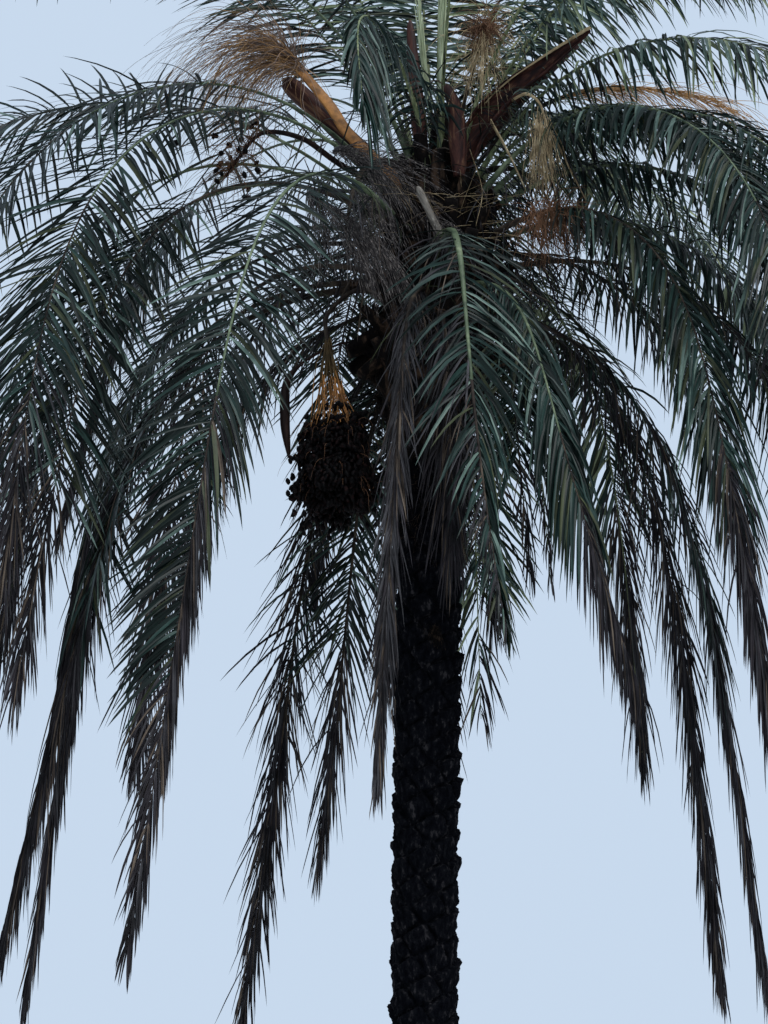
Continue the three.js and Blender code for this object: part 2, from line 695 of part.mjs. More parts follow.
stalks.forEach((stalk, number) => {
  const first = Math.ceil(STALK_STRAND_START * STALK_RINGS);
  const strand = STALKS[number][7];
  stalk.tips = bladeTips(stalk, first, () => strand, strandDirection);
});
fronds.forEach((frond, number) => {
  const dryness = FRONDS[number][7];
  const leafy = (u) => (u - PETIOLE_SHARE) / (1 - PETIOLE_SHARE);
  const reachOf = (s, i, side) => leafletLength(leafy(s.u)) * (0.92 + 0.16 * noise(number, 7 * i + side));
  const directionOf = (s, side) => leafletDirection(s, leafy(s.u), side, dryness);
  frond.tips = bladeTips(frond, PETIOLE_RINGS, reachOf, directionOf);
  const end = frond.stations[frond.stations.length - 1];
  frond.tips[0].push(end.place.clone().addScaledVector(end.tangent, 0.6 * leafletLength(1)));
});

const LOOKS = {
  bark: { color: 0x2a2420, roughness: 0.95 },
  leafBase: { color: 0x3a2f26, roughness: 0.95 },
  green: { color: 0x41604c, roughness: 0.6 },
  old: { color: 0x57604a, roughness: 0.7 },
  dry: { color: 0x6b5c4d, roughness: 0.85 },
  strand: { color: 0x9a7446, roughness: 0.8 },
  date: { color: 0x2b1a16, roughness: 0.55 },
  spathe: { color: 0x5b382b, roughness: 0.6 },
};

const palm = new THREE.Group();
palm.name = "date_palm";

function addPiece(name, solid, look) {
  const material = new THREE.MeshStandardMaterial({ metalness: 0, ...LOOKS[look] });
  const mesh = new THREE.Mesh(toGeometry(solid), material);
  mesh.name = name;
  palm.add(mesh);
}

function frondLook(dryness) {
  if (dryness > 0.75) return "dry";
  return dryness > 0.45 ? "old" : "green";
}

addPiece("trunk", trunkPiece, "bark");
addPiece("leaf_base_boss", boss, "leafBase");
addPiece("spear_leaves", spears, "green");
fronds.forEach((frond, number) => {
  if (frond.group !== frond.name) return;
  const last = frond.stations.length - 1;
  const look = frondLook(FRONDS[number][7]);
  const split = SPLIT_FRONDS.includes(frond.name);
  let solid = ribPiece(frond, 0, split ? BEND_RING : last);
  for (const guest of fronds) {
    if (guest !== frond && guest.group === frond.name) solid = solid.add(ribPiece(guest, 0, last));
  }
  addPiece("frond_" + frond.name, solid, look);
  if (!split) return;
  const bend = frond.stations[BEND_RING];
  bend.place.addScaledVector(bend.tangent, CLEARANCE);
  addPiece("frond_" + frond.name + "_tail", ribPiece(frond, BEND_RING, last), look);
});
for (const stalk of stalks) addPiece(stalk.name, ribPiece(stalk, 0, STALK_RINGS), "strand");
addPiece("date_bunch", bunch, "date");
for (const { name, solid } of spathes) addPiece(name, solid, "spathe");

export default palm;
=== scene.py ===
import math

import bpy
import numpy as np
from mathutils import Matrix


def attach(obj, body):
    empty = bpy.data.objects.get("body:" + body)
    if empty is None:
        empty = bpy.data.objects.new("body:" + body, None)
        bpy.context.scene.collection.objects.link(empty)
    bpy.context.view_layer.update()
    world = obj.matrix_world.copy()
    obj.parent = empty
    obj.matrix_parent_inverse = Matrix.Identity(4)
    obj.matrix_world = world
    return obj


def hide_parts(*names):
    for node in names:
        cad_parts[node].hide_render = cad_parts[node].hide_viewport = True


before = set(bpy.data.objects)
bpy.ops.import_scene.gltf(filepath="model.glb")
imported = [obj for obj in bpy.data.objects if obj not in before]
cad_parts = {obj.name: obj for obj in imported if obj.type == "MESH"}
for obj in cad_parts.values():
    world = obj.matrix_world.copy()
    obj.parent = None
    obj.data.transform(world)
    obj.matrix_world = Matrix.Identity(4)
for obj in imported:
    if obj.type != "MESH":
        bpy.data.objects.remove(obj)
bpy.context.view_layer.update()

# A date palm tree: rough trunk, boss of old leaf bases, feather fronds, date bunch, spent fruit stalks
# and woody spathes. Metres, +Z up. The origin is the centre of the flat cut at ground level. The viewer
# stands on the -Y side, and azimuths are counted from +X towards +Y, so 180 is the viewer's left.

# Driving dimensions, the same as the solids'
TRUNK_TOP = 5.25
TRUNK_GAP = 0.0005
TRUNK_RADIUS = 0.169
ROOT_FLARE = 0.12
FLARE_HEIGHT = 0.33
LEAN = 0.00216
BOSS_TOP = 7.02
BOSS_LEVELS = [5.25, 5.42, 5.56, 5.72, 5.9, 6.15, 6.4, 6.65, 6.85, 7.02]
BOSS_RADII = [0.176, 0.214, 0.262, 0.292, 0.296, 0.28, 0.246, 0.2, 0.146, 0.084]
LOW_BASE, HIGH_BASE = 6.01, 6.88
LOW_RISE, HIGH_RISE = -36, 85
BASE_SINK = 0.06
BEND_POWER = 1.8
PETIOLE_SHARE = 0.15
LEAFLET = 0.56
TURN = 42
TWIST = 30
GOLDEN_ANGLE = 137.508

# Each frond: name, azimuth at its base, rise of its base and fall of its tip above the horizontal,
# limpness, length, sideways sway of its tip, dryness from 0, green, to 1, dead, and for the last ones
# the neighbour that they share a base with
FRONDS = [
    ("left_arch", 204, 48, -86, 0.36, 4.56, 6, 0.15),
    ("left_near", 238, 23, -78, 0.23, 5.5, 4, 0.1),
    ("left_level", 166, 46, -60, 0.7, 4.4, 0, 0.1),
    ("left_tail_near", 166, 4, -83, 0.28, 5.0, 0, 0.6),
    ("left_tail_far", 175, 5, -78, 0.24, 4.9, 0, 0.5),
    ("left_outer", 190, 38, -84, 0.36, 4.6, 0, 0.3),
    ("left_thin_tail", 121, -14, -79, 0.24, 4.45, 20, 0.7),
    ("left_herringbone", 114, -20, -80, 0.24, 3.25, 20, 0.35),
    ("front_dead", 258, -14, -74, 0.16, 3.35, 2, 1),
    ("front_green", 278, 16, -78, 0.16, 2.9, 40, 0.05),
    ("front_right_low", 304, -22, -84, 0.25, 1.85, 8, 0.3),
    ("back_right_short", 72, -20, -86, 0.22, 2.4, 0, 0.25),
    ("right_near", 306, -8, -74, 0.18, 2.8, 40, 0.2),
    ("right_near_arch", 325, 22, -82, 0.26, 4.2, 0, 0.35),
    ("right_tail_near", 38, 0, -84, 0.28, 4.7, 0, 0.7),
    ("right_tail_far", 22, -6, -83, 0.26, 4.6, 0, 0.5),
    ("right_arch", 356, 60, -84, 0.34, 4.6, 0, 0.05),
    ("right_outer", 338, 46, -84, 0.36, 4.9, 0, 0.1),
    ("right_low", 345, 8, -80, 0.3, 4.7, 0, 0.5),
    ("right_back_arch", 12, 30, -82, 0.34, 4.8, 0, 0.2),
    ("right_back_high", 36, 50, -80, 0.45, 4.6, 0, 0.1),
    ("top_centre", 84, 85, 30, 1.1, 3.6, 0, 0),
    ("top_right", 10, 70, -10, 0.9, 3.8, 0, 0),
    ("top_folded", 240, 78, -86, 0.55, 2.35, 56, 0),
    ("top_left", 152, 68, -10, 0.9, 3.8, 0, 0.05),
    ("top_right_near", 318, 72, -40, 0.6, 3.8, 0, 0),
    ("top_left_near", 196, 76, -20, 0.8, 3.6, 0, 0),
    ("top_near", 280, 82, -30, 0.7, 3.2, 0, 0),
    ("back_left_high", 130, 66, -60, 0.55, 4.2, 0, 0.05),
    ("back_right_high", 60, 62, -60, 0.6, 4.3, 0, 0.05),
    ("back_high", 105, 48, -76, 0.45, 4.1, 0, 0.15),
    ("back_left_arch", 146, 34, -82, 0.36, 4.6, 0, 0.3),
    ("back_arch", 78, 34, -82, 0.36, 3.1, 0, 0.3),
    ("back_right_arch", 52, 24, -84, 0.33, 3.9, 0, 0.4),
    ("back_low", 98, 14, -84, 0.31, 2.9, 0, 0.4),
    ("back_hanging", 88, -6, -86, 0.26, 2.8, 0, 0.7),
    ("back_left_low", 168, -12, -84, 0.42, 2.4, 0, 0.6),
    ("front_hanging", 275, -30, -84, 0.3, 1.7, 0, 0.9),
    ("left_mid", 179, 34, -82, 0.32, 4.6, -3, 0.35, "left_level"),
    ("left_inner", 201, 28, -82, 0.32, 4.3, 4, 0.3, "left_outer"),
    ("left_behind", 156, 20, -82, 0.33, 4.6, 4, 0.4, "back_left_arch"),
    ("left_high", 195, 56, -74, 0.42, 4.4, -4, 0.05, "left_arch"),
    ("left_lower", 189, 16, -84, 0.25, 3.6, 3, 0.6, "left_tail_far"),
    ("right_mid", 350, 36, -82, 0.32, 4.7, 3, 0.2, "right_outer"),
    ("right_high", 343, 62, -68, 0.45, 4.3, -3, 0.1, "right_arch"),
    ("right_behind", 26, 16, -84, 0.31, 4.5, 2, 0.45, "right_back_arch"),
    ("right_front", 328, 50, -84, 0.33, 4.5, 0, 0.15, "right_outer"),
    ("back_left_mid", 143, 56, -74, 0.42, 4.3, 0, 0.1, "back_left_high"),
    ("back_right_mid", 72, 50, -76, 0.4, 3.9, 0, 0.1, "back_right_high"),
    ("back_mid", 91, 58, -70, 0.5, 4.3, 0, 0.1, "back_high"),
    ("back_left_outer", 134, 24, -82, 0.34, 4.2, 0, 0.35, "back_left_arch"),
    ("top_left_front", 208, 68, -50, 0.55, 3.9, 4, 0, "top_left_near"),
    ("top_right_front", 335, 70, -46, 0.6, 3.9, 4, 0, "top_right_near"),
    ("top_back_right", 28, 76, -30, 0.8, 3.7, 4, 0, "top_right"),
    ("top_back_left", 136, 80, -20, 0.9, 3.8, -4, 0, "top_left"),
    ("top_tall", 102, 83, 10, 1.0, 3.7, 4, 0, "top_centre"),
]

# How the leaflets of single fronds differ from the rest
LIGHT = (  # young fronds with lighter stems and leaflets; their leaflets are also painted lighter, as painted light on the crown's lit top and right; the names start so
    "top_r", "top_near", "top_back", "top_centre", "top_tall",
    "right_high", "right_arch", "right_back_high", "back_right",
)
LATE_AND_SHADED = (  # green for long, and on the crown's left, where their leaflets are painted darker as painted shade
    "left_arch", "left_outer", "left_inner", "left_mid", "left_high", "left_level", "left_near",
)
BARE = 0.105  # share of a stem before its first leaflets
BARE_STEMS = {  # that share where the stem stays bare for longer
    "left_arch": 0.17, "left_outer": 0.28, "left_mid": 0.27, "left_inner": 0.27, "left_level": 0.26,
    "left_high": 0.26, "left_tail_near": 0.2, "left_tail_far": 0.2, "left_behind": 0.24, "left_lower": 0.24,
    "left_thin_tail": 0.2, "back_left_mid": 0.3, "back_left_high": 0.34, "top_left_near": 0.28,
    "top_left_front": 0.3, "top_left": 0.2, "top_near": 0.34, "top_centre": 0.15, "top_tall": 0.15,
    "top_right_near": 0.25, "top_right_front": 0.2, "top_right": 0.15, "top_back_left": 0.18,
}
BOLD_STEMS = {  # stems thicker than the rest
    "top_folded": 1.3, "left_thin_tail": 1.5, "left_herringbone": 1.5, "left_tail_near": 1.3,
    "front_green": 1.6,
}
TAIL_DRYNESS = {  # how far the hanging end has dried
    "front_green": 0.25, "top_folded": 0.0, "back_right_short": 0.35,
}
SLACK = {  # how freely the leaflets hang
    "right_near": 2.4, "right_near_arch": 1.6, "front_green": 0.7, "top_folded": 1.9,
}
HUGGING = {  # share of the stem from which the leaflets of one side, 1 or -1, hang close to it
    "left_near": (0.26, 1), "front_green": (0.3, 1), "left_tail_near": (0.16, -1),
    "left_tail_far": (0.16, -1), "left_behind": (0.25, -1), "back_left_arch": (0.3, -1),
}
TATTERED = {  # start and end of a stretch that has lost leaflets, and the share of them that is left
    "front_right_low": (0.63, 1, 0.35), "back_right_mid": (0.63, 1, 0.4), "back_right_short": (0.63, 1, 0.5),
    "left_outer": (0.16, 0.37, 0.3), "back_left_high": (0.46, 0.72, 0.15), "back_left_mid": (0.33, 0.47, 0.4),
}
SHORT_TIPS = {  # how long the leaflets of the outer half are
    "left_near": 0.72, "front_green": 0.6, "back_right_short": 0.75, "front_right_low": 0.6,
    "back_right_mid": 0.55,
}

# Stems and leaflets in general
STEM_END = 0.985  # share of a stem where its last leaflets stand
SHEATH_END = 0.05  # share of a stem that is old sheath, darker than the rest
STEM_SHARES = [0, 0.02, 0.06, 0.15, 0.35, 0.65, 0.985]
STEM_WIDTHS = [0.11, 0.088, 0.05, 0.026, 0.014, 0.009, 0.004]
STEM_DEPTHS = [0.055, 0.045, 0.032, 0.021, 0.013, 0.009, 0.003]
LEAFLET_SPACING = 0.0205
LEAFLET_WIDTHS = 0.015, 0.0235
LEAFLET_ANGLES = 80, 36  # to the stem, at its foot and at its tip
LEAFLETS_KEPT = 0.96
CROWDING = 0.85  # below 1, the leaflets stand closer towards the tip
PLANES = np.array([0.3, -0.04, 0.18, -0.24])  # how high neighbouring leaflets stand over the stem
BLADE_SHARES = np.array([0.0, 0.12, 0.36, 0.62, 0.86, 1.0])
BLADE_WIDTHS = np.array([0.5, 0.95, 1.0, 0.86, 0.5, 0.0])
STRAND_TAPER = 0.65  # how much thinner a strand is at its tip

# Scars of old leaves on the trunk
SCAR_PITCH = 0.0195
SCAR_WIDTH = 0.088
SCAR_HEIGHT = 0.062

# Cut leaf bases on the boss, and a few broad ones that carry its outline: azimuth, level, pitch, reach, width
STUBS = 92
BROAD_STUBS = [
    (186, 6.02, -30, 0.22, 0.2),
    (200, 5.86, -38, 0.17, 0.18),
    (172, 5.9, -20, 0.18, 0.17),
    (12, 5.9, -10, 0.14, 0.17),
    (345, 6.1, 4, 0.14, 0.16),
    (92, 5.95, -24, 0.18, 0.19),
]

# Spent fruit stalks: name, azimuth, rise, fall, limpness, length, height of the base, share that is left
STALKS = [
    ("spent_stalk_front", 224, 56, -84, 0.4, 1.1, 6.75, 0.9),
    ("spent_stalk_right", 352, 68, -88, 0.34, 1.4, 6.75, 0.62),
    ("spent_stalk_back", 12, 62, -30, 0.7, 2.0, 6.8, 0.9),
    ("spent_stalk_top", 352, 83, 60, 0.9, 1.1, 6.88, 0.9),
]

# Their strands: the stalk, the shares of it between which they start, the way they set out, how much of
# the stalk's own direction they keep, their scatter, longest reach, number, droop, waviness and colour
BROOMS = [
    ("spent_stalk_front", 0.4, 0.98, (0.45, -0.1, -0.2), 0.5, 0.3, 0.6, 200, 1.3, 0.8, "grey"),
    ("spent_stalk_back", 0.46, 0.98, (0.5, 0.0, 0.1), 0.8, 0.44, 0.66, 230, 1.6, 1.4, "gold"),
    ("spent_stalk_top", 0.55, 0.98, (0.0, -0.2, 0.1), 0.3, 0.6, 0.52, 130, 2.6, 1.8, "straw"),
    ("spent_stalk_top", 0.72, 1.0, (0.0, 0.0, 0.1), 0.6, 0.7, 0.26, 170, 1.5, 2.6, "rust"),
]

# The broad left stalk, and its strands: way, scatter, longest reach, number, droop, waviness and colour
LEFT_STRAP = [
    (-0.007, -0.12, 6.777), (-0.363, -0.2, 7.079), (-0.498, -0.22, 7.277), (-0.65, -0.22, 7.474),
    (-0.758, -0.22, 7.597),
]
LEFT_STRANDS = [
    ((-0.66, 0.0, 0.8), 0.22, 1.14, 170, 2.4, 2.6, "mauve"),
    ((-0.76, -0.02, 0.6), 0.28, 0.9, 130, 2.2, 3.2, "gold"),
    ((-0.74, 0.0, 0.26), 0.38, 0.6, 70, 1.6, 3.4, "gold"),
    ((-0.5, 0.0, 0.4), 0.46, 0.8, 100, 2.6, 3.6, "mauve"),
    ((-0.1, 0.0, 0.9), 0.5, 0.5, 60, 1.9, 2.6, "mauve"),
]

# Dry tangles right of the heart: start, its spread, way, scatter, longest reach, number, droop, waviness and
# colour
RIGHT_TANGLES = [
    ((0.656, -0.5, 7.021), (0.045, 0.03, 0.07), (0.04, 0.0, -1.0), 0.17, 0.44, 130, 0.6, 1.4, "straw"),
    ((0.7, -0.5, 6.516), (0.09, 0.04, 0.07), (0.1, 0.0, -0.5), 0.6, 0.34, 320, 1.0, 3.4, "rust"),
    ((0.351, -0.45, 7.637), (0.05, 0.02, 0.03), (0.0, 0.0, 0.3), 0.7, 0.2, 190, 1.6, 4.0, "rust"),
    ((0.355, -0.45, 7.576), (0.05, 0.03, 0.06), (-0.12, 0.0, -1.0), 0.24, 0.42, 44, 0.6, 1.8, "straw"),
]

# Grey tangles in front of the heart: a hooked, broken end whose strands fan down to the right, an arc with
# a long curtain, and the stretch of the broken leaf stalk that a small one hangs from
HOOK = [(-0.12, -0.2, 6.7), (-0.3, -0.31, 6.86), (-0.42, -0.35, 6.95), (-0.475, -0.36, 6.93)]
ARC = [(-0.3, -0.3, 6.72), (-0.597, -0.42, 6.67), (-0.42, -0.46, 6.52), (-0.154, -0.45, 6.26)]
BREAK = np.array([0.02, -0.34, 6.66]), np.array([0.1, -0.34, 6.42])

# Pale dry straps round the heart: path and width
STRAPS = [
    ([(0.395, -0.3, 7.147), (0.485, -0.32, 6.951), (0.574, -0.34, 6.727)], 0.042),
    ([(0.513, -0.3, 7.274), (0.589, -0.42, 7.251), (0.664, -0.42, 7.179), (0.695, -0.4, 7.021)], 0.018),
    ([(0.727, -0.35, 7.057), (0.808, -0.38, 6.845), (0.901, -0.38, 6.638)], 0.032),
    ([(0.281, -0.2, 7.019), (0.341, -0.3, 6.733), (0.303, -0.35, 6.499)], 0.016),
]

# An older stalk on the left that still bears a few dates
OLD_STALK = [
    (-0.12, -0.05, 6.8), (-0.44, -0.2, 6.93), (-0.65, -0.3, 7.04), (-0.86, -0.35, 7.05), (-0.98, -0.35, 6.92),
    (-1.06, -0.35, 6.79),
]

# Woody spathes and a broken leaf stalk: name, azimuth, rise, fall, length, height of the base, width and how
# slim the far end is
SPATHES = [
    ("spathe_left", 184, 47, 42, 1.08, 6.76, 0.115, 0.95),
    ("spathe_centre_right", 318, 84, 80, 0.64, 6.88, 0.1, 0.5),
    ("spathe_centre_left", 200, 84, 86, 0.78, 6.88, 0.09, 0.5),
    ("spathe_right", 344, 52, 38, 1.3, 6.9, 0.13, 0.3),
    ("spathe_right_inner", 6, 54, 44, 1.25, 6.92, 0.084, 0.95),
    ("broken_leaf_stalk", 256, 60, 50, 0.43, 6.44, 0.04, 0.95),
]

# The paths of those that bend in their own way
OWN_PATHS = {
    "broken_leaf_stalk": [(0.163, -0.28, 6.376), (0.085, -0.38, 6.486), (-0.018, -0.44, 6.694)],
    "spathe_right": [
        (0.24, -0.15, 6.92), (0.32, -0.2, 7.15), (0.48, -0.26, 7.33), (0.72, -0.32, 7.5), (0.95, -0.38, 7.66),
    ],
    "spathe_centre_right": [(0.22, -0.24, 6.84), (0.21, -0.27, 7.05), (0.2, -0.28, 7.22), (0.15, -0.28, 7.38)],
}
HANGING_TOP = np.array([-0.665, -0.1, 5.79])
HANGING_LENGTH = 0.47
HANGING_WIDTH = 0.07

# The closed young leaves: azimuth, tilt, length and radius, and how much thinner they are at the tip; then
# the sleeve of old sheath at their foot
SPEARS = [(40, 1, 2.0, 0.024), (150, 5, 1.7, 0.012), (300, 3, 1.85, 0.012)]
SPEAR_TAPER = 0.88
SLEEVE_SHIFT = [0.015, -0.03, 0]
SLEEVE_LEVELS = [6.92, 7.0, 7.3, 7.38]

BUNCH_CENTRE = np.array([-0.45, -0.21, 5.155])
BUNCH_WIDTH = 0.45
BUNCH_HEIGHT = 0.64
BUNCH_NECK = 0.77
BUNCH_STALK_BASE = 6.12
BUNCH_STALK_AZIMUTH = 197
DATE_COUNT = 1250
LOOSE_DATES = 84
HIGH_DATES = 44

UP = np.array([0.0, 0.0, 1.0])


# Small mathematics


def noise(a, b):
    s = math.sin(a * 12.9898 + b * 78.233) * 43758.5453
    return s - math.floor(s)


def mix(a, b, t):
    return a + (b - a) * t


def ease(low, high, x):
    t = np.clip((x - low) / (high - low), 0, 1)
    return t * t * (3 - 2 * t)


def unit(v):
    return v / (np.linalg.norm(v, axis=-1, keepdims=True) + 1e-12)


def outward(azimuth):
    a = np.radians(np.asarray(azimuth, float))
    return np.stack([np.cos(a), np.sin(a), np.zeros_like(a)], axis=-1)


def slanting(azimuth, pitch):
    """Directions at these azimuths, in degrees, and pitches, in radians."""
    return outward(azimuth) * np.cos(pitch)[..., None] + UP * np.sin(pitch)[..., None]


def spread_round(azimuth, out, across, up):
    """Directions made up of a part outward at these azimuths, a part across it and a part upward."""
    return outward(azimuth) * out + outward(azimuth + 90) * across + UP * up


def turned(side, normal, angle):
    """Side and normal turned about the direction that they stand on."""
    return side * np.cos(angle) + normal * np.sin(angle), normal * np.cos(angle) - side * np.sin(angle)


def axis_x(z):
    return LEAN * z * z


def boss_radius(z):
    return np.interp(z, BOSS_LEVELS, BOSS_RADII)


def round_axis(azimuth, level, radius):
    """The points at these azimuths, levels and distances from the trunk's axis."""
    level = np.asarray(level, float)
    centre = np.stack([axis_x(level), np.zeros_like(level), level], axis=-1)
    return outward(azimuth) * np.asarray(radius, float)[..., None] + centre


def on_boss(azimuth, level):
    """Where something starts that is sunk a little into the boss."""
    return round_axis(azimuth, level, boss_radius(level) - BASE_SINK)


def shaped(count, shares, values):
    """A measure that varies along a body, given at a few shares of it."""
    return np.interp(np.linspace(0, 1, count), shares, values)


def lattice_noise(p, seed):
    """Smooth noise from 0 to 1 at the points p."""
    cell = np.floor(p)
    f = p - cell
    f = f * f * (3 - 2 * f)
    total = 0
    for corner in np.ndindex(2, 2, 2):
        c = cell + corner
        s = np.sin(c[..., 0] * 12.9898 + c[..., 1] * 78.233 + c[..., 2] * 37.719 + seed * 4.137) * 43758.5453
        w = np.prod(np.where(np.array(corner) == 1, f, 1 - f), axis=-1)
        total = total + w * (s - np.floor(s))
    return total


def rough_noise(p, seed, octaves):
    total, weight = 0, 0
    for k in range(octaves):
        total = total + lattice_noise(p * 2**k, seed + k) / 2**k
        weight += 1 / 2**k
    return total / weight


class Line:
    """The line that a frond, stalk or spathe follows, with its place, tangent, side and normal."""

    STEPS = 60

    def __init__(self, azimuth, rise, fall, limp, length, level, sway=0.0, twist=0.0):
        u = np.arange(self.STEPS + 1) / self.STEPS
        pitch = np.radians(rise + (fall - rise) * (1 - np.exp(-((u / limp) ** BEND_POWER))))
        heading = azimuth + sway * u * u
        tangent = slanting(heading, pitch)
        flat = outward(heading + 90)
        side, _ = turned(flat, np.cross(tangent, flat), np.radians(twist * np.minimum(1, 2.2 * u))[:, None])
        moves = np.vstack([np.zeros(3), np.cumsum(tangent[:-1] * length / self.STEPS, axis=0)])
        self.u, self.length = u, length
        self.rows = on_boss(azimuth, level) + moves, tangent, side, np.cross(tangent, side)

    def at(self, u):
        place, *ways = (
            np.stack([np.interp(u, self.u, row[:, k]) for k in range(3)], axis=-1) for row in self.rows
        )
        return place, *(unit(way) for way in ways)


def frames_along(path):
    """Tangent, side and normal at each point of a path."""
    tangent = unit(np.gradient(path, axis=0))
    reference = UP if abs(tangent[0, 2]) < 0.8 else np.array([0.0, 1.0, 0.0])
    side = unit(np.cross(reference, tangent))
    for i in range(1, len(path)):
        s = side[i - 1] - tangent[i] * np.dot(side[i - 1], tangent[i])
        side[i] = s / np.linalg.norm(s)
    return tangent, side, np.cross(tangent, side)


def curve_through(points, count):
    """A smooth path through a few points."""
    points = np.asarray(points, float)
    p = np.vstack([2 * points[0] - points[1], points, 2 * points[-1] - points[-2]])
    t = np.linspace(0, len(points) - 1 - 1e-9, count)
    i = np.floor(t).astype(int)
    f = (t - i)[:, None]
    a, b, c, d = p[i], p[i + 1], p[i + 2], p[i + 3]
    return 0.5 * (
        2 * b + (c - a) * f + (2 * a - 5 * b + 4 * c - d) * f**2 + (3 * b - a - 3 * c + d) * f**3
    )


# Meshes from arrays


class Pile:
    """Many small shapes that become one mesh."""

    def __init__(self):
        self.points, self.quads, self.tris, self.count = [], [], [], 0

    def add(self, points, quads, tris=()):
        points = np.asarray(points, float).reshape(-1, 3)
        self.quads.append(np.asarray(quads).reshape(-1, 4) + self.count)
        self.tris.append(np.asarray(tris, int).reshape(-1, 3) + self.count)
        self.points.append(points)
        self.count += len(points)

    def build(self, name, look, nodes, slot):
        points, quads, tris = (np.concatenate(part) for part in (self.points, self.quads, self.tris))
        loops = np.concatenate([quads.ravel(), tris.ravel()])
        starts = np.concatenate([4 * np.arange(len(quads)), 4 * len(quads) + 3 * np.arange(len(tris))])
        mesh = bpy.data.meshes.new(name)
        mesh.vertices.add(len(points))
        mesh.vertices.foreach_set("co", points.astype(np.float32).ravel())
        mesh.loops.add(len(loops))
        mesh.loops.foreach_set("vertex_index", loops.astype(np.int32))
        mesh.polygons.add(len(starts))
        mesh.polygons.foreach_set("loop_start", starts.astype(np.int32))
        mesh.polygons.foreach_set("use_smooth", np.ones(len(starts), bool))
        mesh.update(calc_edges=True)
        mesh.materials.append(look)
        piece = bpy.data.objects.new(name, mesh)
        bpy.context.scene.collection.objects.link(piece)
        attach(piece, "root")
        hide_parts(*nodes)


def round_profile(sides, squash=1.0):
    a = 2 * np.pi * np.arange(sides) / sides
    return np.stack([0.5 * np.cos(a), 0.5 * squash * np.sin(a)], axis=1)


def boat_profile(opening, thickness, sides=9):
    """An open shell's section: an outer arc and an inner arc back."""
    a = np.linspace(-math.pi / 2 - opening, -math.pi / 2 + opening, sides)
    outer = np.stack([0.5 * np.cos(a), 0.5 * np.sin(a)], axis=1)
    return np.vstack([outer, outer[::-1] * (1 - 2 * thickness)])


# A rib's section: a flattish top and a keel below
RIB_PROFILE = np.array(
    [[0.5, 0.1], [0.36, 0.42], [0.0, 0.5], [-0.36, 0.42], [-0.5, 0.1], [-0.33, -0.3], [0.0, -0.5], [0.33, -0.3]]
)


def tube_faces(rows, sides):
    """The quads of a tube's wall, and the triangles of its ends, whose centres follow after its rings."""
    ring = np.arange(sides)
    after = (ring + 1) % sides
    row = sides * np.arange(rows - 1)[:, None]
    walls = np.stack([row + ring, row + after, row + sides + after, row + sides + ring], axis=-1)
    last, centre = sides * (rows - 1), np.full(sides, sides * rows)
    ends = [np.stack([centre, after, ring], axis=1), np.stack([centre + 1, last + ring, last + after], axis=1)]
    return walls.reshape(-1, 4), np.vstack(ends)


def sweep(pile, place, side, normal, profile, widths, depths):
    """A closed body along a line; its section is the profile, as wide and deep as the arrays say."""
    n = len(place)
    across = profile[:, 0] * np.broadcast_to(widths, n)[:, None]
    upward = profile[:, 1] * np.broadcast_to(depths, n)[:, None]
    rings = place[:, None] + side[:, None] * across[..., None] + normal[:, None] * upward[..., None]
    pile.add(np.vstack([rings.reshape(-1, 3), place[0], place[-1]]), *tube_faces(n, len(profile)))


def sweep_path(pile, path, widths, depths, profile=RIB_PROFILE, upright=False):
    """The same along any path; upright turns the section by a quarter."""
    _, side, normal = frames_along(path)
    if upright:
        side, normal = normal, side
    sweep(pile, path, side, normal, profile, widths, depths)


def angle_grid(low, high, rings, sides):
    """Heights and angles of the points of a round wall."""
    z = np.linspace(low, high, rings + 1)[:, None]
    return np.broadcast_arrays(z, (2 * np.pi * np.arange(sides) / sides)[None, :])


def add_column(pile, z, a, r):
    """A closed column round the trunk's axis."""
    points = np.stack([axis_x(z) + r * np.cos(a), r * np.sin(a), z], axis=-1).reshape(-1, 3)
    centres = [[axis_x(h), 0, h] for h in (z[0, 0], z[-1, 0])]
    pile.add(np.vstack([points, centres]), *tube_faces(*z.shape))


def threads(pile, start, direction, length, radius, droop, steps, rng, wave, curls=7):
    """Thin three-sided strands that start somewhere and bend down under their weight."""
    n = len(start)
    radius, droop = np.broadcast_to(radius, n), np.broadcast_to(droop, n)
    place, heading = start.copy(), unit(direction)
    across = unit(np.cross(heading, rng.normal(size=(n, 3))))
    phase = rng.uniform(0, 6.28, n)
    rows = []
    for k in range(steps + 1):
        v = k / steps
        width = (radius * (1 - STRAND_TAPER * v))[:, None]
        second = unit(np.cross(heading, across))
        first = np.cross(second, heading)
        ring = [place + width * (first * math.cos(a) + second * math.sin(a)) for a in (0, 2.0944, 4.18879)]
        rows.append(np.stack(ring, axis=1))
        sway = across * (wave * np.cos(phase + curls * v))[:, None]
        heading = unit(heading - UP * (droop / steps)[:, None] + sway / steps)
        place = place + heading * (length / steps)[:, None]
    walls, _ = tube_faces(steps + 1, 3)
    pile.add(np.stack(rows, axis=1), walls + 3 * (steps + 1) * np.arange(n)[:, None, None])
    return place, heading


def fan(pile, place, way, scatter, reach, thick, droop, steps, rng, wave, curls=7):
    """Strands that set out one way, with or without scatter, and whose measures lie between two values."""
    heading = way if scatter is None else way + scatter * rng.normal(size=(len(place), 3))
    reach, thick, droop = (rng.uniform(*span, len(place)) for span in (reach, thick, droop))
    threads(pile, place, heading, reach, thick, droop, steps, rng, wave, curls)


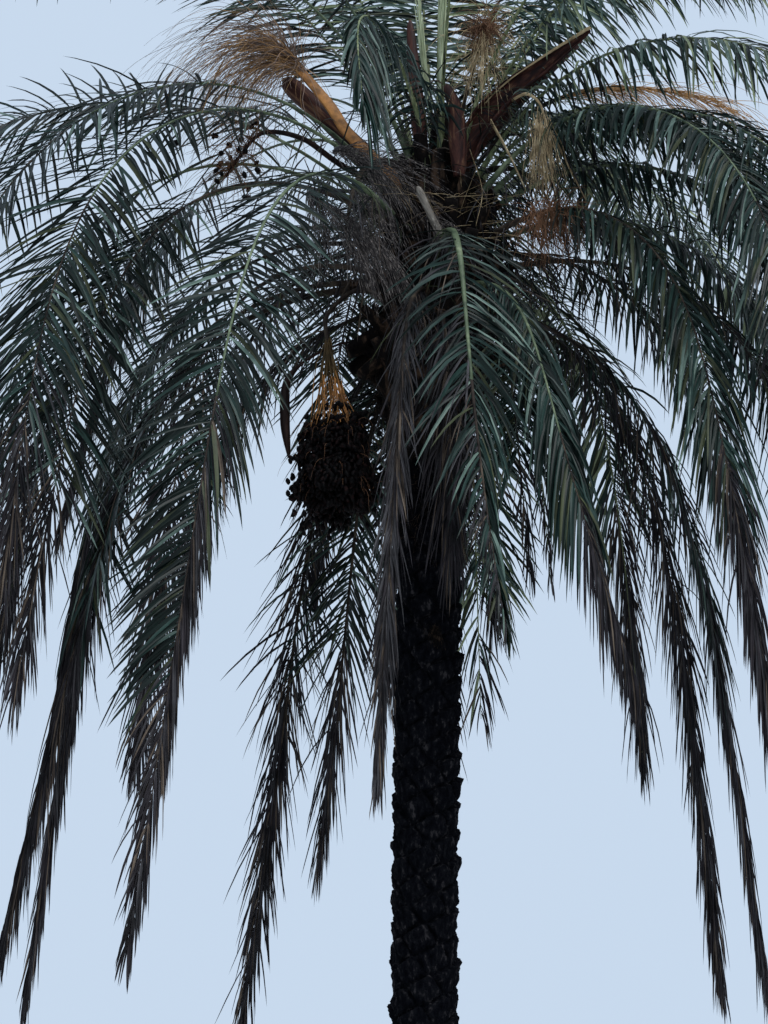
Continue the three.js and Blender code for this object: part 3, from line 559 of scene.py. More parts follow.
def beads(pile, centre, axis, length, radius, rng, rings=6, sides=7):
    """Shrivelled oval fruits."""
    n = len(centre)
    length, radius = np.broadcast_to(length, n)[:, None], np.broadcast_to(radius, n)
    axis = unit(axis)
    first = unit(np.cross(axis, rng.normal(size=(n, 3))))
    second = np.cross(axis, first)
    share = np.linspace(0, 1, rings + 1)[1:-1]
    girth = np.sin(np.pi * share) ** 0.7
    around = 2 * np.pi * np.arange(sides) / sides
    wrinkle = 1 + 0.16 * rng.uniform(-1, 1, (n, len(share), sides))
    r = radius[:, None, None] * girth[None, :, None] * wrinkle
    body = (
        centre[:, None, None]
        + axis[:, None, None] * (length * (share - 0.5)[None])[..., None, None]
        + first[:, None, None] * (r * np.cos(around))[..., None]
        + second[:, None, None] * (r * np.sin(around))[..., None]
    )
    ends = np.stack([centre - axis * length / 2, centre + axis * length / 2], axis=1)
    points = np.concatenate([body.reshape(n, -1, 3), ends], axis=1)
    base = points.shape[1] * np.arange(n)[:, None, None]
    walls, caps = tube_faces(len(share), sides)
    pile.add(points, walls + base, caps + base)


def leaflets(pile, root, heading, face, length, width, droop, fold, twist):
    """Pointed blades folded lengthwise. face is the way their upper side looks."""
    n = len(root)
    length, width, droop, fold, twist = (
        np.broadcast_to(size, n)[:, None] for size in (length, width, droop, fold, twist)
    )
    place, direction = root.copy(), unit(heading)
    rows = []
    for k, v in enumerate(BLADE_SHARES):
        across = unit(np.cross(face, direction))
        upper = np.cross(direction, across)
        across, upper = turned(across, upper, twist * v)
        half = 0.5 * width * BLADE_WIDTHS[k]
        out, lift = half * np.cos(fold), half * np.sin(fold)
        edges = place + across * out + upper * lift, place - across * out + upper * lift
        rows.append(np.stack([edges[0], place, place, edges[1]], axis=1))
        if k + 1 < len(BLADE_SHARES):
            step = BLADE_SHARES[k + 1] - v
            direction = unit(direction - UP * (droop * step))
            place = place + direction * (length * step)
    # Two quads from each station to the next, and two triangles at the point
    end = 4 * (len(BLADE_SHARES) - 2)
    quads = (np.arange(0, end, 4)[:, None, None] + np.array([[0, 1, 5, 4], [2, 3, 7, 6]])).reshape(-1, 4)
    tris = np.array([[end, end + 1, end + 4], [end + 2, end + 3, end + 7]])
    base = 4 * len(BLADE_SHARES) * np.arange(n)[:, None, None]
    pile.add(np.stack(rows, axis=1), quads + base, tris + base)


# Materials


def srgb(red, green, blue):
    """A screen colour from 0 to 255 as linear light."""
    parts = [c / 255 for c in (red, green, blue)]
    return [c / 12.92 if c <= 0.04045 else ((c + 0.055) / 1.055) ** 2.4 for c in parts] + [1.0]


def surface(
    name, colours, scale, rough, grain, bump, stretch=(1, 1, 1), specular=0.35, sheen=0.0, detail=6, lean=0
):
    """A material whose colour, roughness and relief come from noise, drawn out along an axis that leans."""
    look = bpy.data.materials.new(name)
    look.use_nodes = True
    tree = look.node_tree
    shader = tree.nodes["Principled BSDF"]

    def add(kind, settings):
        node = tree.nodes.new("ShaderNode" + kind)
        for key, value in settings.items():
            node.inputs[key].default_value = value
        return node

    def link(source, output, target, entry):
        tree.links.new(source.outputs[output], target.inputs[entry])

    place = add("TexCoord", {})
    fit = add("Mapping", {"Rotation": (0, math.radians(lean), 0), "Scale": [1 / k for k in stretch]})
    fit.vector_type = "TEXTURE"
    patches = add("TexNoise", {"Scale": scale, "Detail": detail, "Roughness": 0.62})
    ramp = add("ValToRGB", {})
    ramp.color_ramp.interpolation = "EASE"
    stops = ramp.color_ramp.elements
    while len(stops) < len(colours):
        stops.new(0.5)
    for stop, share, colour in zip(stops, np.linspace(0.32, 0.68, len(colours)), colours):
        stop.position = float(share)
        stop.color = srgb(*colour)
    gloss = add("MapRange", {"To Min": rough[0], "To Max": rough[1]})
    fine = add("TexNoise", {"Scale": grain, "Detail": 4})
    relief = add("Bump", {"Strength": bump[0], "Distance": bump[1]})
    link(place, "Object", fit, "Vector")
    link(fit, "Vector", patches, "Vector")
    link(patches, "Fac", ramp, "Fac")
    link(ramp, "Color", shader, "Base Color")
    link(patches, "Fac", gloss, "Value")
    link(gloss, "Result", shader, "Roughness")
    link(fit, "Vector", fine, "Vector")
    link(fine, "Fac", relief, "Height")
    link(relief, "Normal", shader, "Normal")
    shader.inputs["Specular IOR Level"].default_value = specular
    shader.inputs["Sheen Weight"].default_value = sheen
    return look


def leaf_look(kind, dark, light, rough, sheen=0.0):
    return surface("leaf_" + kind, [dark, light], 3.5, rough, 160, (0.25, 0.002), specular=0.18, sheen=sheen)


def strand_look(kind, colours, scale=9, rough=(0.6, 0.85), **more):
    return surface("strand_" + kind, colours, scale, rough, 140, (0.3, 0.002), **more)


# The bark's own dark tone is painted darker still and bluish, as painted shade of a trunk in shadow under a blue
# sky; its lighter patches fall at random
BARK = surface(
    "palm_bark", [(2, 3, 6), (6, 7, 12), (15, 16, 20), (50, 48, 50)], 36, (0.9, 1.0), 210, (1.0, 0.014),
    (1, 1, 0.45), 0.03, detail=10,
)
BASES = surface(
    "leaf_base", [(4, 3, 4), (18, 15, 14), (76, 60, 48)], 16, (0.8, 0.98), 150, (0.7, 0.006), (1, 1, 0.35), 0.08
)
FIBRE = surface(
    "fibre", [(4, 4, 5), (20, 17, 16), (76, 62, 50)], 22, (0.85, 1.0), 240, (0.5, 0.003), specular=0.05
)
STEM_GREEN = surface(
    "stem_green", [(54, 66, 50), (84, 97, 74), (126, 137, 108)], 9, (0.42, 0.64), 120, (0.3, 0.002), specular=0.2
)
STEM_BROWN = surface(
    "stem_brown", [(16, 14, 14), (44, 38, 34), (84, 74, 64)], 7, (0.6, 0.85), 120, (0.4, 0.003), specular=0.12
)
STEM_YOUNG = surface(
    "stem_young", [(60, 70, 46), (104, 114, 80), (164, 168, 130)], 44, (0.4, 0.65), 120, (0.3, 0.002),
    (1, 1, 0.08), 0.2,
)
# Leaflet tones. add_frond deals out the dark deep leaflets and the light pale and fresh ones partly as painted
# shade and painted light on the crown; the fresh tone is also the yellow-green of young leaflets
LEAVES = {
    "blue": leaf_look("blue", (16, 34, 30), (39, 60, 55), (0.32, 0.52)),
    "deep": leaf_look("deep", (6, 15, 13), (17, 32, 28), (0.34, 0.54)),
    "pale": leaf_look("pale", (58, 77, 70), (108, 127, 117), (0.3, 0.5)),
    "fresh_and_lit": leaf_look("fresh_and_lit", (94, 108, 80), (156, 166, 132), (0.34, 0.55)),
    "olive": leaf_look("olive", (34, 40, 27), (62, 68, 46), (0.4, 0.65)),
    "tan": leaf_look("tan", (60, 51, 45), (102, 90, 78), (0.6, 0.85), 0.05),
    "brown": leaf_look("brown", (16, 15, 19), (49, 45, 49), (0.62, 0.88), 0.03),
    "ash": leaf_look("ash", (32, 32, 35), (74, 73, 76), (0.65, 0.88), 0.05),
}
STRANDS = {
    "gold": strand_look("gold", [(124, 90, 56), (200, 158, 108)]),
    "mauve": strand_look("mauve", [(98, 82, 74), (152, 130, 116)]),
    "olive": strand_look("olive", [(52, 42, 26), (104, 82, 46)]),
    "orange": strand_look("orange", [(104, 70, 36), (196, 136, 74)], rough=(0.5, 0.75)),
    "rust": strand_look("rust", [(80, 56, 42), (128, 94, 70)], rough=(0.65, 0.88), specular=0.15),
    "straw": strand_look("straw", [(98, 82, 58), (160, 140, 106), (208, 190, 154)], 14),
    "grey": strand_look(
        "grey", [(14, 13, 16), (72, 68, 68), (162, 154, 148)], 90, (0.7, 0.9), stretch=(1, 1, 0.12), specular=0.1
    ),
}
# The dates' skin is near black; its dull reddish patches, at random, are partly the dates' own colour and partly
# painted highlight
DATE_SKIN = surface(
    "date_skin", [(1, 1, 2), (5, 4, 5), (34, 18, 17)], 40, (0.4, 0.65), 320, (0.6, 0.003), specular=0.08
)
SPATHE_LEAN = 44  # their streaks lean as they do, to either side
SPATHE_WOOD = {
    lean: surface(
        f"spathe_wood_{number}", [(15, 9, 12), (42, 24, 23), (68, 40, 34), (112, 82, 62)], 34, (0.45, 0.75), 120,
        (0.5, 0.004), (1, 1, 0.09), 0.15, lean=lean,
    )
    for number, lean in enumerate([-SPATHE_LEAN, 0, SPATHE_LEAN])
}
SPATHE_DARK = surface(
    "spathe_dark", [(10, 7, 8), (30, 20, 19), (58, 42, 36)], 14, (0.5, 0.8), 130, (0.4, 0.003), (1, 1, 0.25), 0.12
)
DRY_WOOD = surface(
    "dry_wood", [(66, 60, 56), (122, 116, 108), (172, 166, 156)], 40, (0.7, 0.9), 140, (0.4, 0.003),
    (1, 1, 0.08), 0.1, lean=-30,
)
SPEAR = surface(
    "spear_green", [(140, 152, 120), (200, 208, 178)], 6, (0.4, 0.6), 140, (0.25, 0.002), (1, 1, 0.2), 0.3
)


# Trunk


def trunk_piece():
    z, a = angle_grid(0, TRUNK_TOP - TRUNK_GAP, 500, 116)
    nearest = np.full(z.shape, 9.0)
    second = nearest
    lift = depth = np.zeros(z.shape)
    # Each point belongs to the scar that it is nearest to, and grooves run where two are as near
    for k in range(-12, 13):
        scar = np.round(z / SCAR_PITCH) + k
        jitter = np.sin(scar * 12.9898) * 43758.5453
        jitter = jitter - np.floor(jitter)
        angle = np.radians(GOLDEN_ANGLE) * scar
        dx = TRUNK_RADIUS * (np.mod(a - angle + np.pi, 2 * np.pi) - np.pi)
        dz = z - scar * SCAR_PITCH - 0.012 * (jitter - 0.5)
        d = np.sqrt((dx / SCAR_WIDTH) ** 2 + (dz / SCAR_HEIGHT) ** 2)
        closer = d < nearest
        second = np.where(closer, nearest, np.minimum(second, d))
        lift = np.where(closer, dz, lift)
        depth = np.where(closer, 0.62 + 0.6 * jitter, depth)
        nearest = np.where(closer, d, nearest)
    knob = ease(0.0, 0.42, second - nearest) * (0.72 + 5.2 * lift) * depth
    p = np.stack([0.17 * np.cos(a), 0.17 * np.sin(a), z], axis=-1)
    lumps = rough_noise(p * [16, 16, 20], 3, 4) - 0.5
    grit = rough_noise(p * [70, 70, 52], 9, 3) - 0.5
    ragged = ease(4.6, 5.2, z)
    flare = ROOT_FLARE * np.exp(-z / FLARE_HEIGHT) * (1 + 0.12 * np.cos(7 * a))
    r = TRUNK_RADIUS - 0.026 + flare + 0.04 * knob + (0.03 + 0.03 * ragged) * lumps + 0.018 * grit
    pile = Pile()
    add_column(pile, z, a, r)
    pile.build("trunk_bark", BARK, ["trunk"], "bark")


def trunk_tuft():
    """A light tuft of fibre on the front of the trunk."""
    rng = np.random.default_rng(9)
    count = 90
    start = np.array([0.07, -0.175, 4.3]) + rng.normal(0, 0.01, (count, 3)) * [1.4, 0.4, 1]
    heading = np.array([0, -0.3, -0.8]) + rng.normal(0, 0.22, (count, 3))
    pile = Pile()
    threads(pile, start, heading, rng.uniform(0.05, 0.12, count), 0.0016, 1.2, 5, rng, 1.5)
    pile.build("trunk_tuft", FIBRE, ["trunk"], "bark")


# Boss of leaf bases


def boss_pieces():
    pile = Pile()
    z, a = angle_grid(TRUNK_TOP, BOSS_TOP, 150, 120)
    p = np.stack([np.cos(a) * 0.28, np.sin(a) * 0.28, z], axis=-1)
    lumps = rough_noise(p * [14, 14, 9], 21, 4) - 0.5
    add_column(pile, z, a, boss_radius(z) * (1 + 0.05 * np.cos(5 * a + z * 1000 / 90)) + 0.05 * lumps)

    # Cut leaf bases in a spiral, steep low down, flat half-way and steep again between the upper stems
    steps = 9
    t = np.linspace(0, 1, steps)
    for number in range(STUBS):
        share = number / STUBS
        level = mix(5.3, 6.86, (number + 0.5) / STUBS)
        azimuth = GOLDEN_ANGLE * number + 20
        steep = np.interp(share, [0, 0.35, 0.6, 1], [58, 24, 34, 76])
        reach = np.interp(share, [0, 0.35, 0.6, 1], [0.09, 0.2, 0.2, 0.3]) * (0.7 + 0.5 * noise(number, 9))
        along = slanting(azimuth, math.radians(steep + 16 * (noise(number, 8) - 0.5)) + np.radians(14) * t)
        root = round_axis(azimuth, level, boss_radius(level) - 0.05)
        path = root + np.cumsum(along, axis=0) * (reach + 0.05) / steps
        side = np.broadcast_to(outward(azimuth + 90), path.shape)
        wide = mix(np.interp(level, [6.0, 6.86], [0.15, 0.1]), 0.075, t) * (0.9 + 0.2 * noise(number, 4))
        jag = 1 + 0.14 * (lattice_noise(path * 40, 5) - 0.5)
        sweep(pile, path, side, np.cross(along, side), RIB_PROFILE, wide * jag, mix(0.07, 0.034, t) * jag)
    for azimuth, level, pitch, reach, width in BROAD_STUBS:
        along = slanting(azimuth, np.radians(pitch))
        path = on_boss(azimuth, level) + along * np.linspace(0, reach + BASE_SINK, steps)[:, None]
        side = np.broadcast_to(outward(azimuth + 90), path.shape)
        jag = 1 + 0.2 * (lattice_noise(path * 30, 6) - 0.5)
        wide = shaped(steps, [0, 0.8, 1], [1, 0.8, 0.62]) * width * jag
        sweep(pile, path, side, np.cross(along, side), RIB_PROFILE, wide, 0.6 * wide)
    pile.build("boss_bases", BASES, ["leaf_base_boss"], "leaf_base")

    # Fibre between the leaf bases and down over the top of the trunk
    rng = np.random.default_rng(11)
    count = 2500
    level = TRUNK_TOP - 0.55 + (BOSS_TOP - TRUNK_TOP + 0.5) * rng.random(count)
    azimuth = rng.uniform(0, 360, count)
    radius = np.where(level < TRUNK_TOP, TRUNK_RADIUS, boss_radius(level))
    out, across = rng.uniform(0.25, 1.0, (count, 1)), rng.normal(0, 0.7, (count, 1))
    heading = spread_round(azimuth, out, across, rng.uniform(-0.9, 0.7, (count, 1)))
    fibres = Pile()
    fan(
        fibres, round_axis(azimuth, level, radius - 0.015), heading, None, (0.05, 0.24), (0.001, 0.0022),
        (0.6, 2.6), 5, rng, 2.2,
    )
    fibres.build("boss_fibres", FIBRE, ["leaf_base_boss"], "leaf_base")


# Fronds

frond_nodes = [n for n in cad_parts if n.startswith("frond_")]
rise_of = {row[0]: row[2] for row in FRONDS}
leaf_piles = {kind: Pile() for kind in LEAVES}
stem_piles = {"green": Pile(), "brown": Pile(), "young": Pile()}
petiole_bases = Pile()


def leaflet_length(t):
    return LEAFLET * (0.42 + 0.58 * np.sin(np.pi * np.minimum(1, 0.14 + 0.72 * t)))


def frond_line(row, number):
    name, azimuth, rise, fall, limp, length, sway = row[:7]
    host = row[8] if len(row) > 8 else name
    level = LOW_BASE + (rise_of[host] - LOW_RISE) / (HIGH_RISE - LOW_RISE) * (HIGH_BASE - LOW_BASE)
    twist = TURN * math.cos(math.radians(azimuth)) + TWIST * (noise(number, 3) - 0.5)
    return Line(azimuth, rise, fall, limp, length, level, sway, twist)


def add_leaflets(kind, root, heading, face, *sizes):
    """Puts each leaflet on the pile of its kind."""
    sizes = [np.broadcast_to(size, len(root)) for size in sizes]
    for k, pile in leaf_piles.items():
        p = kind == k
        if p.any():
            leaflets(pile, root[p], heading[p], face[p], *(size[p] for size in sizes))


def add_stem(line, old, young, bold):
    """The stem with its sheath; a green one turns brown half-way."""
    sheath, blade = 7, 44
    u = np.concatenate([np.linspace(0, SHEATH_END + 0.006, sheath), np.linspace(SHEATH_END, STEM_END, blade)])
    place, _, side, normal = line.at(u)
    wide = bold * np.interp(u, STEM_SHARES, STEM_WIDTHS)
    deep = bold * np.interp(u, STEM_SHARES, STEM_DEPTHS)
    middle = sheath + blade // 2
    parts = [(petiole_bases, slice(0, sheath), 1.08)]
    if young or old:
        parts.append((stem_piles["young" if young else "brown"], slice(sheath, None), 1))
    else:
        parts.append((stem_piles["green"], slice(sheath, middle), 1))
        parts.append((stem_piles["brown"], slice(middle - 1, None), 1))
    for pile, p, size in parts:
        sweep(pile, place[p], side[p], normal[p], RIB_PROFILE, size * wide[p], size * deep[p])


def add_tangle(line, rise, bare, rng):
    """Thin dead and broken leaflets that hang about the foot of a frond."""
    count = 20 if bare > BARE else 54 if rise < 60 else 30
    place, tangent, side, normal = line.at(rng.uniform(0.02, 0.2, count))
    heading = (
        tangent * rng.uniform(0.1, 0.9, (count, 1))
        + side * rng.normal(0, 0.8, (count, 1))
        + normal * rng.normal(0, 0.5, (count, 1))
        - UP * (rng.uniform(0.1, 1.0, (count, 1)) if rise < 60 else 0)
    )
    luck = rng.random(count)
    kind = np.full(count, "brown", dtype=object)
    for above, other in [(0.35, "deep"), (0.55, "ash"), (0.75, "olive"), (0.92, "tan")]:
        kind[luck > above] = other
    face = unit(normal + 0.6 * rng.normal(size=(count, 3)))
    length, width = rng.uniform(0.16, 0.5, count), rng.uniform(0.006, 0.013, count)
    droop = rng.uniform(0.4, 2.0, count)
    add_leaflets(kind, place, heading, face, length, width, droop, 0.6, rng.normal(0, 1.2, count))


def add_frond(row, number):
    rng = np.random.default_rng(1000 + number)
    line = frond_line(row, number)
    name, azimuth, rise, dryness = row[0], row[1], row[2], row[7]
    bare = BARE_STEMS.get(name, BARE)
    light, late_and_shaded, dead_frond = name.startswith(LIGHT), name in LATE_AND_SHADED, dryness == 1
    old = dryness > 0.45 or (rise < 30 and dryness > 0.25)
    add_stem(line, old, light or name == "top_folded", BOLD_STEMS.get(name, 1))
    add_tangle(line, rise, bare, rng)

    # Leaflets stand on both sides, s, at the shares u of the stem and t of the part beyond the petiole
    spacing = LEAFLET_SPACING * (0.6 if dead_frond else 0.74 if name.startswith("right") or dryness > 0.3 else 1)
    count = int(line.length * (STEM_END - bare) / spacing)

    def along_stem(share):
        return bare + (STEM_END - bare) * share**CROWDING

    index = np.repeat(np.arange(count), 2)
    s = np.tile([1.0, -1.0], count)
    start, end, left = TATTERED.get(name, (0, 0, 0))
    rough = along_stem(index / count)
    kept = rng.random(2 * count) < np.where((rough > start) & (rough < end), left, LEAFLETS_KEPT)
    index, s = index[kept], s[kept]
    n = len(index)
    u = along_stem((index + 0.5 + 0.35 * rng.uniform(-1, 1, n)) / count)
    t = np.clip((u - PETIOLE_SHARE) / (1 - PETIOLE_SHARE), 0, 1)
    place, tangent, side, normal = line.at(u)

    # How dry each is, and how far it has collapsed for that
    hang = np.clip(-tangent[:, 2], 0, 1)
    browning = ease(0.54, 0.9, t) if late_and_shaded else ease(0.42, 0.8, t)
    dried = dryness + TAIL_DRYNESS.get(name, 0.85) * browning * hang
    local = np.clip(dried + 0.07 * rng.normal(size=n), 0, 1)
    wilted = np.zeros(n, bool)
    if name == "left_near":
        local = np.clip(local + 0.6 * ease(0.32, 0.52, t) * (s > 0), 0, 1)
    if name == "front_green":
        wilted = (s < 0) & (rng.random(n) < 0.5)
        local = np.where(wilted, 0.95, local)
    collapse = ease(0.35, 0.9, local)

    # Their ways: small groups of neighbours stand in different planes
    plane = PLANES[(index + (s > 0)) % len(PLANES)] * (1 - 0.6 * t)
    plane = plane + 0.14 * rng.normal(size=n)
    tip = ease(0.85, 1, t)
    angle = np.radians(mix(*LEAFLET_ANGLES, t**1.2)) * (1 - 0.3 * tip)
    slump = rng.uniform(0.14, 0.72, n) * (0.45 if dead_frond else 1)
    angle = angle * mix(1, slump, np.where(wilted, 0.4, collapse))
    angle = angle * (1 + mix(0.1, 0.34, collapse) * rng.normal(size=n))
    onset, closed_side = HUGGING.get(name, (1, 0))
    close = ease(onset, onset + 0.24, t) * (s == closed_side)
    angle = angle * (1 - 0.55 * close)
    slack = mix(0.3, 1.0, ease(-0.2, 0.8, math.cos(math.radians(azimuth)))) * rng.uniform(0.7, 1.4, n)
    if name in SLACK:
        slack = SLACK[name] * rng.uniform(0.7, 1.3, n)
        angle = angle / (0.6 + 0.4 * max(1, SLACK[name]))
    heading = (
        tangent * np.cos(angle)[:, None]
        + side * (s * np.sin(angle))[:, None]
        + normal * (0.08 + plane * (1 - 0.5 * collapse))[:, None]
        - UP * (0.1 + 0.1 * slack)[:, None]
    )
    face = normal - tangent * 0.2 + side * (0.4 * rng.normal(size=(n, 1)))
    face = unit(face + tangent * (0.25 * rng.normal(size=(n, 1))))

    # Their sizes
    length = leaflet_length(t) * rng.uniform(0.86, 1.1, n)
    length = length * mix(1, rng.uniform(0.66, 1.22, n) * (0.75 if dead_frond else 1), collapse)
    length = length * np.clip(0.16 + (u - bare) / 0.075, 0.16, 1) * (1 - 0.3 * tip)
    if name == "top_folded":
        length = length * np.where(s > 0, 1.12, 0.55)
    length = length * mix(1, SHORT_TIPS.get(name, 1), ease(0.4, 0.75, t))
    width = mix(rng.uniform(*LEAFLET_WIDTHS, n), 0.006, ease(bare + 0.07, bare + 0.025, u))
    stem_half = (0.42 * np.interp(u, STEM_SHARES, STEM_WIDTHS))[:, None]
    root = place + side * s[:, None] * stem_half + normal * 0.3 * stem_half

    # Kinds are dealt out by small groups of neighbouring leaflets
    group = (index // 4) * 2 + (s > 0)
    luck = rng.random(group.max() + 1)[group] * 0.66 + rng.random(n) * 0.34
    other = rng.random(n)
    dead = luck < ease(0.28, 0.76, local)
    kind = np.full(n, "blue", dtype=object)
    # Painted shade: the share of dark deep leaflets grows towards the stem's foot, inside the crown, and on the
    # late fronds of the crown's left; on the light fronds of the top and right it shrinks, as painted light
    shaded = 0.3 if light else 2.3 if late_and_shaded else 1
    kind[other < mix(0.6, 0.36, ease(0, 0.35, t)) * shaded] = "deep"
    # Painted light: the light fronds of the top and right get more pale leaflets and all the fresh ones; the late
    # fronds of the left get fewer pale ones, as painted shade
    kind[other > (0.38 if light else 0.96 if late_and_shaded else 0.88)] = "pale"
    if light:
        kind[other > 0.8] = "fresh_and_lit"
    kind[(other > 0.5) & (other < 0.54 + 0.26 * local)] = "olive"
    ashen = 0.6 if dryness > 0.95 else 0.2
    kind[dead] = np.where(other[dead] < 0.12, "tan", np.where(other[dead] > 1 - ashen, "ash", "brown"))
    kind[wilted & (other > 0.4)] = "ash"
    width = width * (1 + dead * rng.uniform(-0.5, -0.1 if dead_frond else 0.1, n))
    droop = 0.2 + 0.8 * slack + collapse * rng.uniform(-0.2, 1.6, n) + 1.1 * close
    fold = np.radians(mix(24, 52, dead) + 8 * rng.normal(size=n))
    twist = rng.normal(0, 0.3, n) + dead * rng.normal(0, 1.3, n)
    add_leaflets(kind, root, heading, face, length, width, droop, fold, twist)


def frond_pieces():
    for number, row in enumerate(FRONDS):
        add_frond(row, number)
    slots = {"tan": "frond_dry", "brown": "frond_dry", "ash": "frond_dry", "olive": "frond_old"}
    for kind, pile in leaf_piles.items():
        pile.build("leaflets_" + kind, LEAVES[kind], frond_nodes, slots.get(kind, "frond_green"))
    stem_piles["green"].build("frond_stems_green", STEM_GREEN, frond_nodes, "frond_green")
    stem_piles["brown"].build("frond_stems_brown", STEM_BROWN, frond_nodes, "frond_old")
    stem_piles["young"].build("frond_stems_young", STEM_YOUNG, frond_nodes, "frond_green")
    petiole_bases.build("frond_sheaths", BASES, frond_nodes, "leaf_base")


# Spent fruit stalks


def broom(name, node, look, place, way, scatter, reach, thick, droop, steps, rng, wave, curls=7):
    """The strands of one broom as a piece."""
    pile = Pile()
    fan(pile, place, way, scatter, reach, thick, (0.7 * droop, 1.3 * droop), steps, rng, wave, curls)
    pile.build(name, look, [node], "spent_stalk")


def stalk_pieces():
    lines = {}
    for name, azimuth, rise, fall, limp, length, level, end in STALKS:
        lines[name] = Line(azimuth, rise, fall, limp, length, level)
        place, _, side, normal = lines[name].at(np.linspace(0, end, 26))
        wide = shaped(26, [0, 0.4, 0.7, 1], [0.085, 0.066, 0.044, 0.006])
        pile = Pile()
        sweep(pile, place, side, normal, RIB_PROFILE, wide, 0.36 * wide)
        pile.build(name + "_strap", STEM_BROWN, [name], "spent_stalk")
    for number, (name, low, high, way, kept, scatter, longest, count, droop, wave, colour) in enumerate(BROOMS):
        rng = np.random.default_rng(300 + number)
        place, tangent, side, _ = lines[name].at(rng.uniform(low, high, count))
        place = place + side * rng.uniform(-0.02, 0.02, (count, 1))
        way = unit(np.array(way, float)) + kept * tangent
        sizes = (0.45 * longest, longest), (0.0015, 0.0027), droop
        broom(f"{name}_broom_{number}", name, STRANDS[colour], place, way, scatter, *sizes, 11, rng, wave)


def left_broom():
    """The broad left stalk, flat and orange, and the curly strands that fan out from its end."""
    path = curve_through(LEFT_STRAP, 40)
    wide = shaped(40, [0, 0.5, 0.85, 1], [0.07, 0.066, 0.05, 0.026])
    strap = Pile()
    sweep_path(strap, path, wide, 0.3 * wide, upright=True)
    strap.build("spent_stalk_left_strap", STRANDS["orange"], ["spent_stalk_left"], "spent_stalk")
    for number, (way, scatter, longest, count, droop, wave, colour) in enumerate(LEFT_STRANDS):
        rng = np.random.default_rng(340 + number)
        place = path[rng.integers(30, 40, count)] + rng.normal(0, 0.014, (count, 3))
        name, sizes = f"spent_stalk_left_broom_{number}", ((0.4 * longest, longest), (0.0014, 0.0028), droop)
        look, way = STRANDS[colour], np.array(way)
        broom(name, "spent_stalk_left", look, place, way, scatter, *sizes, 16, rng, wave, 15)


def right_tangles():
    for number, (start, spread, way, scatter, longest, count, droop, wave, colour) in enumerate(RIGHT_TANGLES):
        rng = np.random.default_rng(360 + number)
        place = np.array(start) + rng.normal(0, 0.6, (count, 3)) * spread
        name, sizes = f"right_tangle_{number}", ((0.5 * longest, longest), (0.0014, 0.0028), droop)
        look, way = STRANDS[colour], np.array(way)
        broom(name, "spent_stalk_right", look, place, way, scatter, *sizes, 12, rng, wave, 11)


def front_brooms():
    rng = np.random.default_rng(61)
    strands, ends = Pile(), Pile()

    hook = curve_through(HOOK, 16)
    wide = shaped(16, [0, 0.6, 0.85, 1], [0.03, 0.034, 0.05, 0.03])
    sweep_path(ends, hook, wide, 0.6 * wide)
    count = 150
    place = hook[rng.integers(4, 15, count)] + rng.normal(0, 0.012, (count, 3))
    way = np.array([0.8, -0.12, -0.2])
    fan(strands, place, way, 0.24, (0.3, 0.68), (0.0013, 0.0024), (0.6, 1.3), 10, rng, 0.9)

    arc = curve_through(ARC, 60)
    wide = np.linspace(0.036, 0.012, 60)
    sweep_path(ends, arc, wide, 0.6 * wide)
    count = 210
    at = rng.integers(14, 59, count)
    place = arc[at] + rng.normal(0, 0.012, (count, 3))
    way = 0.45 * frames_along(arc)[0][at] + np.array([0.42, -0.05, -0.5])
    fan(strands, place, way, 0.11, (0.3, 0.62), (0.0014, 0.0029), (0.8, 1.7), 11, rng, 0.7)

    place = mix(*BREAK, rng.random((90, 1)))
    way = np.array([0.5, -0.25, -0.8])
    fan(strands, place, way, 0.26, (0.16, 0.42), (0.0013, 0.0022), (0.3, 1.0), 8, rng, 0.9)
    strands.build("front_broom_strands", STRANDS["grey"], ["spent_stalk_front"], "spent_stalk")
    ends.build("front_broom_ends", LEAVES["ash"], ["spent_stalk_front"], "spent_stalk")


def straws():
    """Pale dry straps, straws and broken leaf ends round the heart."""
    rng = np.random.default_rng(62)
    pile = Pile()
    for points, width in STRAPS:
        wide = width * shaped(24, [0, 0.3, 1], [1.2, 1, 0.5])
        sweep_path(pile, curve_through(points, 24), wide, 0.25 * wide, upright=True)
    count = 60
    azimuth = rng.uniform(180, 360, count)
    level = rng.uniform(6.45, 6.85, count)
    place = round_axis(azimuth, level, boss_radius(level) + 0.02)
    heading = spread_round(azimuth, 0.7, rng.normal(0, 0.8, (count, 1)), rng.normal(0.05, 0.2, (count, 1)))
    fan(pile, place, heading, None, (0.2, 0.5), (0.0014, 0.0026), (0, 0.6), 6, rng, 0.3)
    pile.build("dry_straws", STRANDS["straw"], ["leaf_base_boss"], "spent_stalk")


def old_dates():
    rng = np.random.default_rng(77)
    stalk, strands, fruit = Pile(), Pile(), Pile()
    path = curve_through(OLD_STALK, 40)
    wide = np.linspace(0.05, 0.026, 40)
    sweep_path(stalk, path, wide, 0.6 * wide)
    stalk.build("old_date_stalk", SPATHE_DARK, ["spent_stalk_left"], "spent_stalk")
    count = 170
    at = rng.integers(24, 40, count)
    heading = rng.normal(0, 0.6, (count, 3)) + np.array([-0.25, 0, 0.25])
    reach, droop = rng.uniform(0.1, 0.42, count), rng.uniform(1.0, 2.6, count)
    end, way = threads(strands, path[at], heading, reach, 0.0019, droop, 8, rng, 1.4)
    strands.build("old_date_strands", STRANDS["rust"], ["spent_stalk_left"], "spent_stalk")

    # The first strands bear two dates each
    bearing = np.repeat(np.arange(15), 2)
    spots = end[bearing] - way[bearing] * rng.uniform(0, 0.12, (len(bearing), 1))
    spots = spots + rng.normal(0, 0.01, spots.shape)
    hang = rng.normal(0, 0.4, spots.shape) - UP
    length, radius = rng.uniform(0.036, 0.046, len(spots)), rng.uniform(0.012, 0.0165, len(spots))
    beads(fruit, spots, hang, length, radius, rng)
    fruit.build("old_dates", DATE_SKIN, ["spent_stalk_left"], "dates")


# Woody spathes, broken stalk and spears


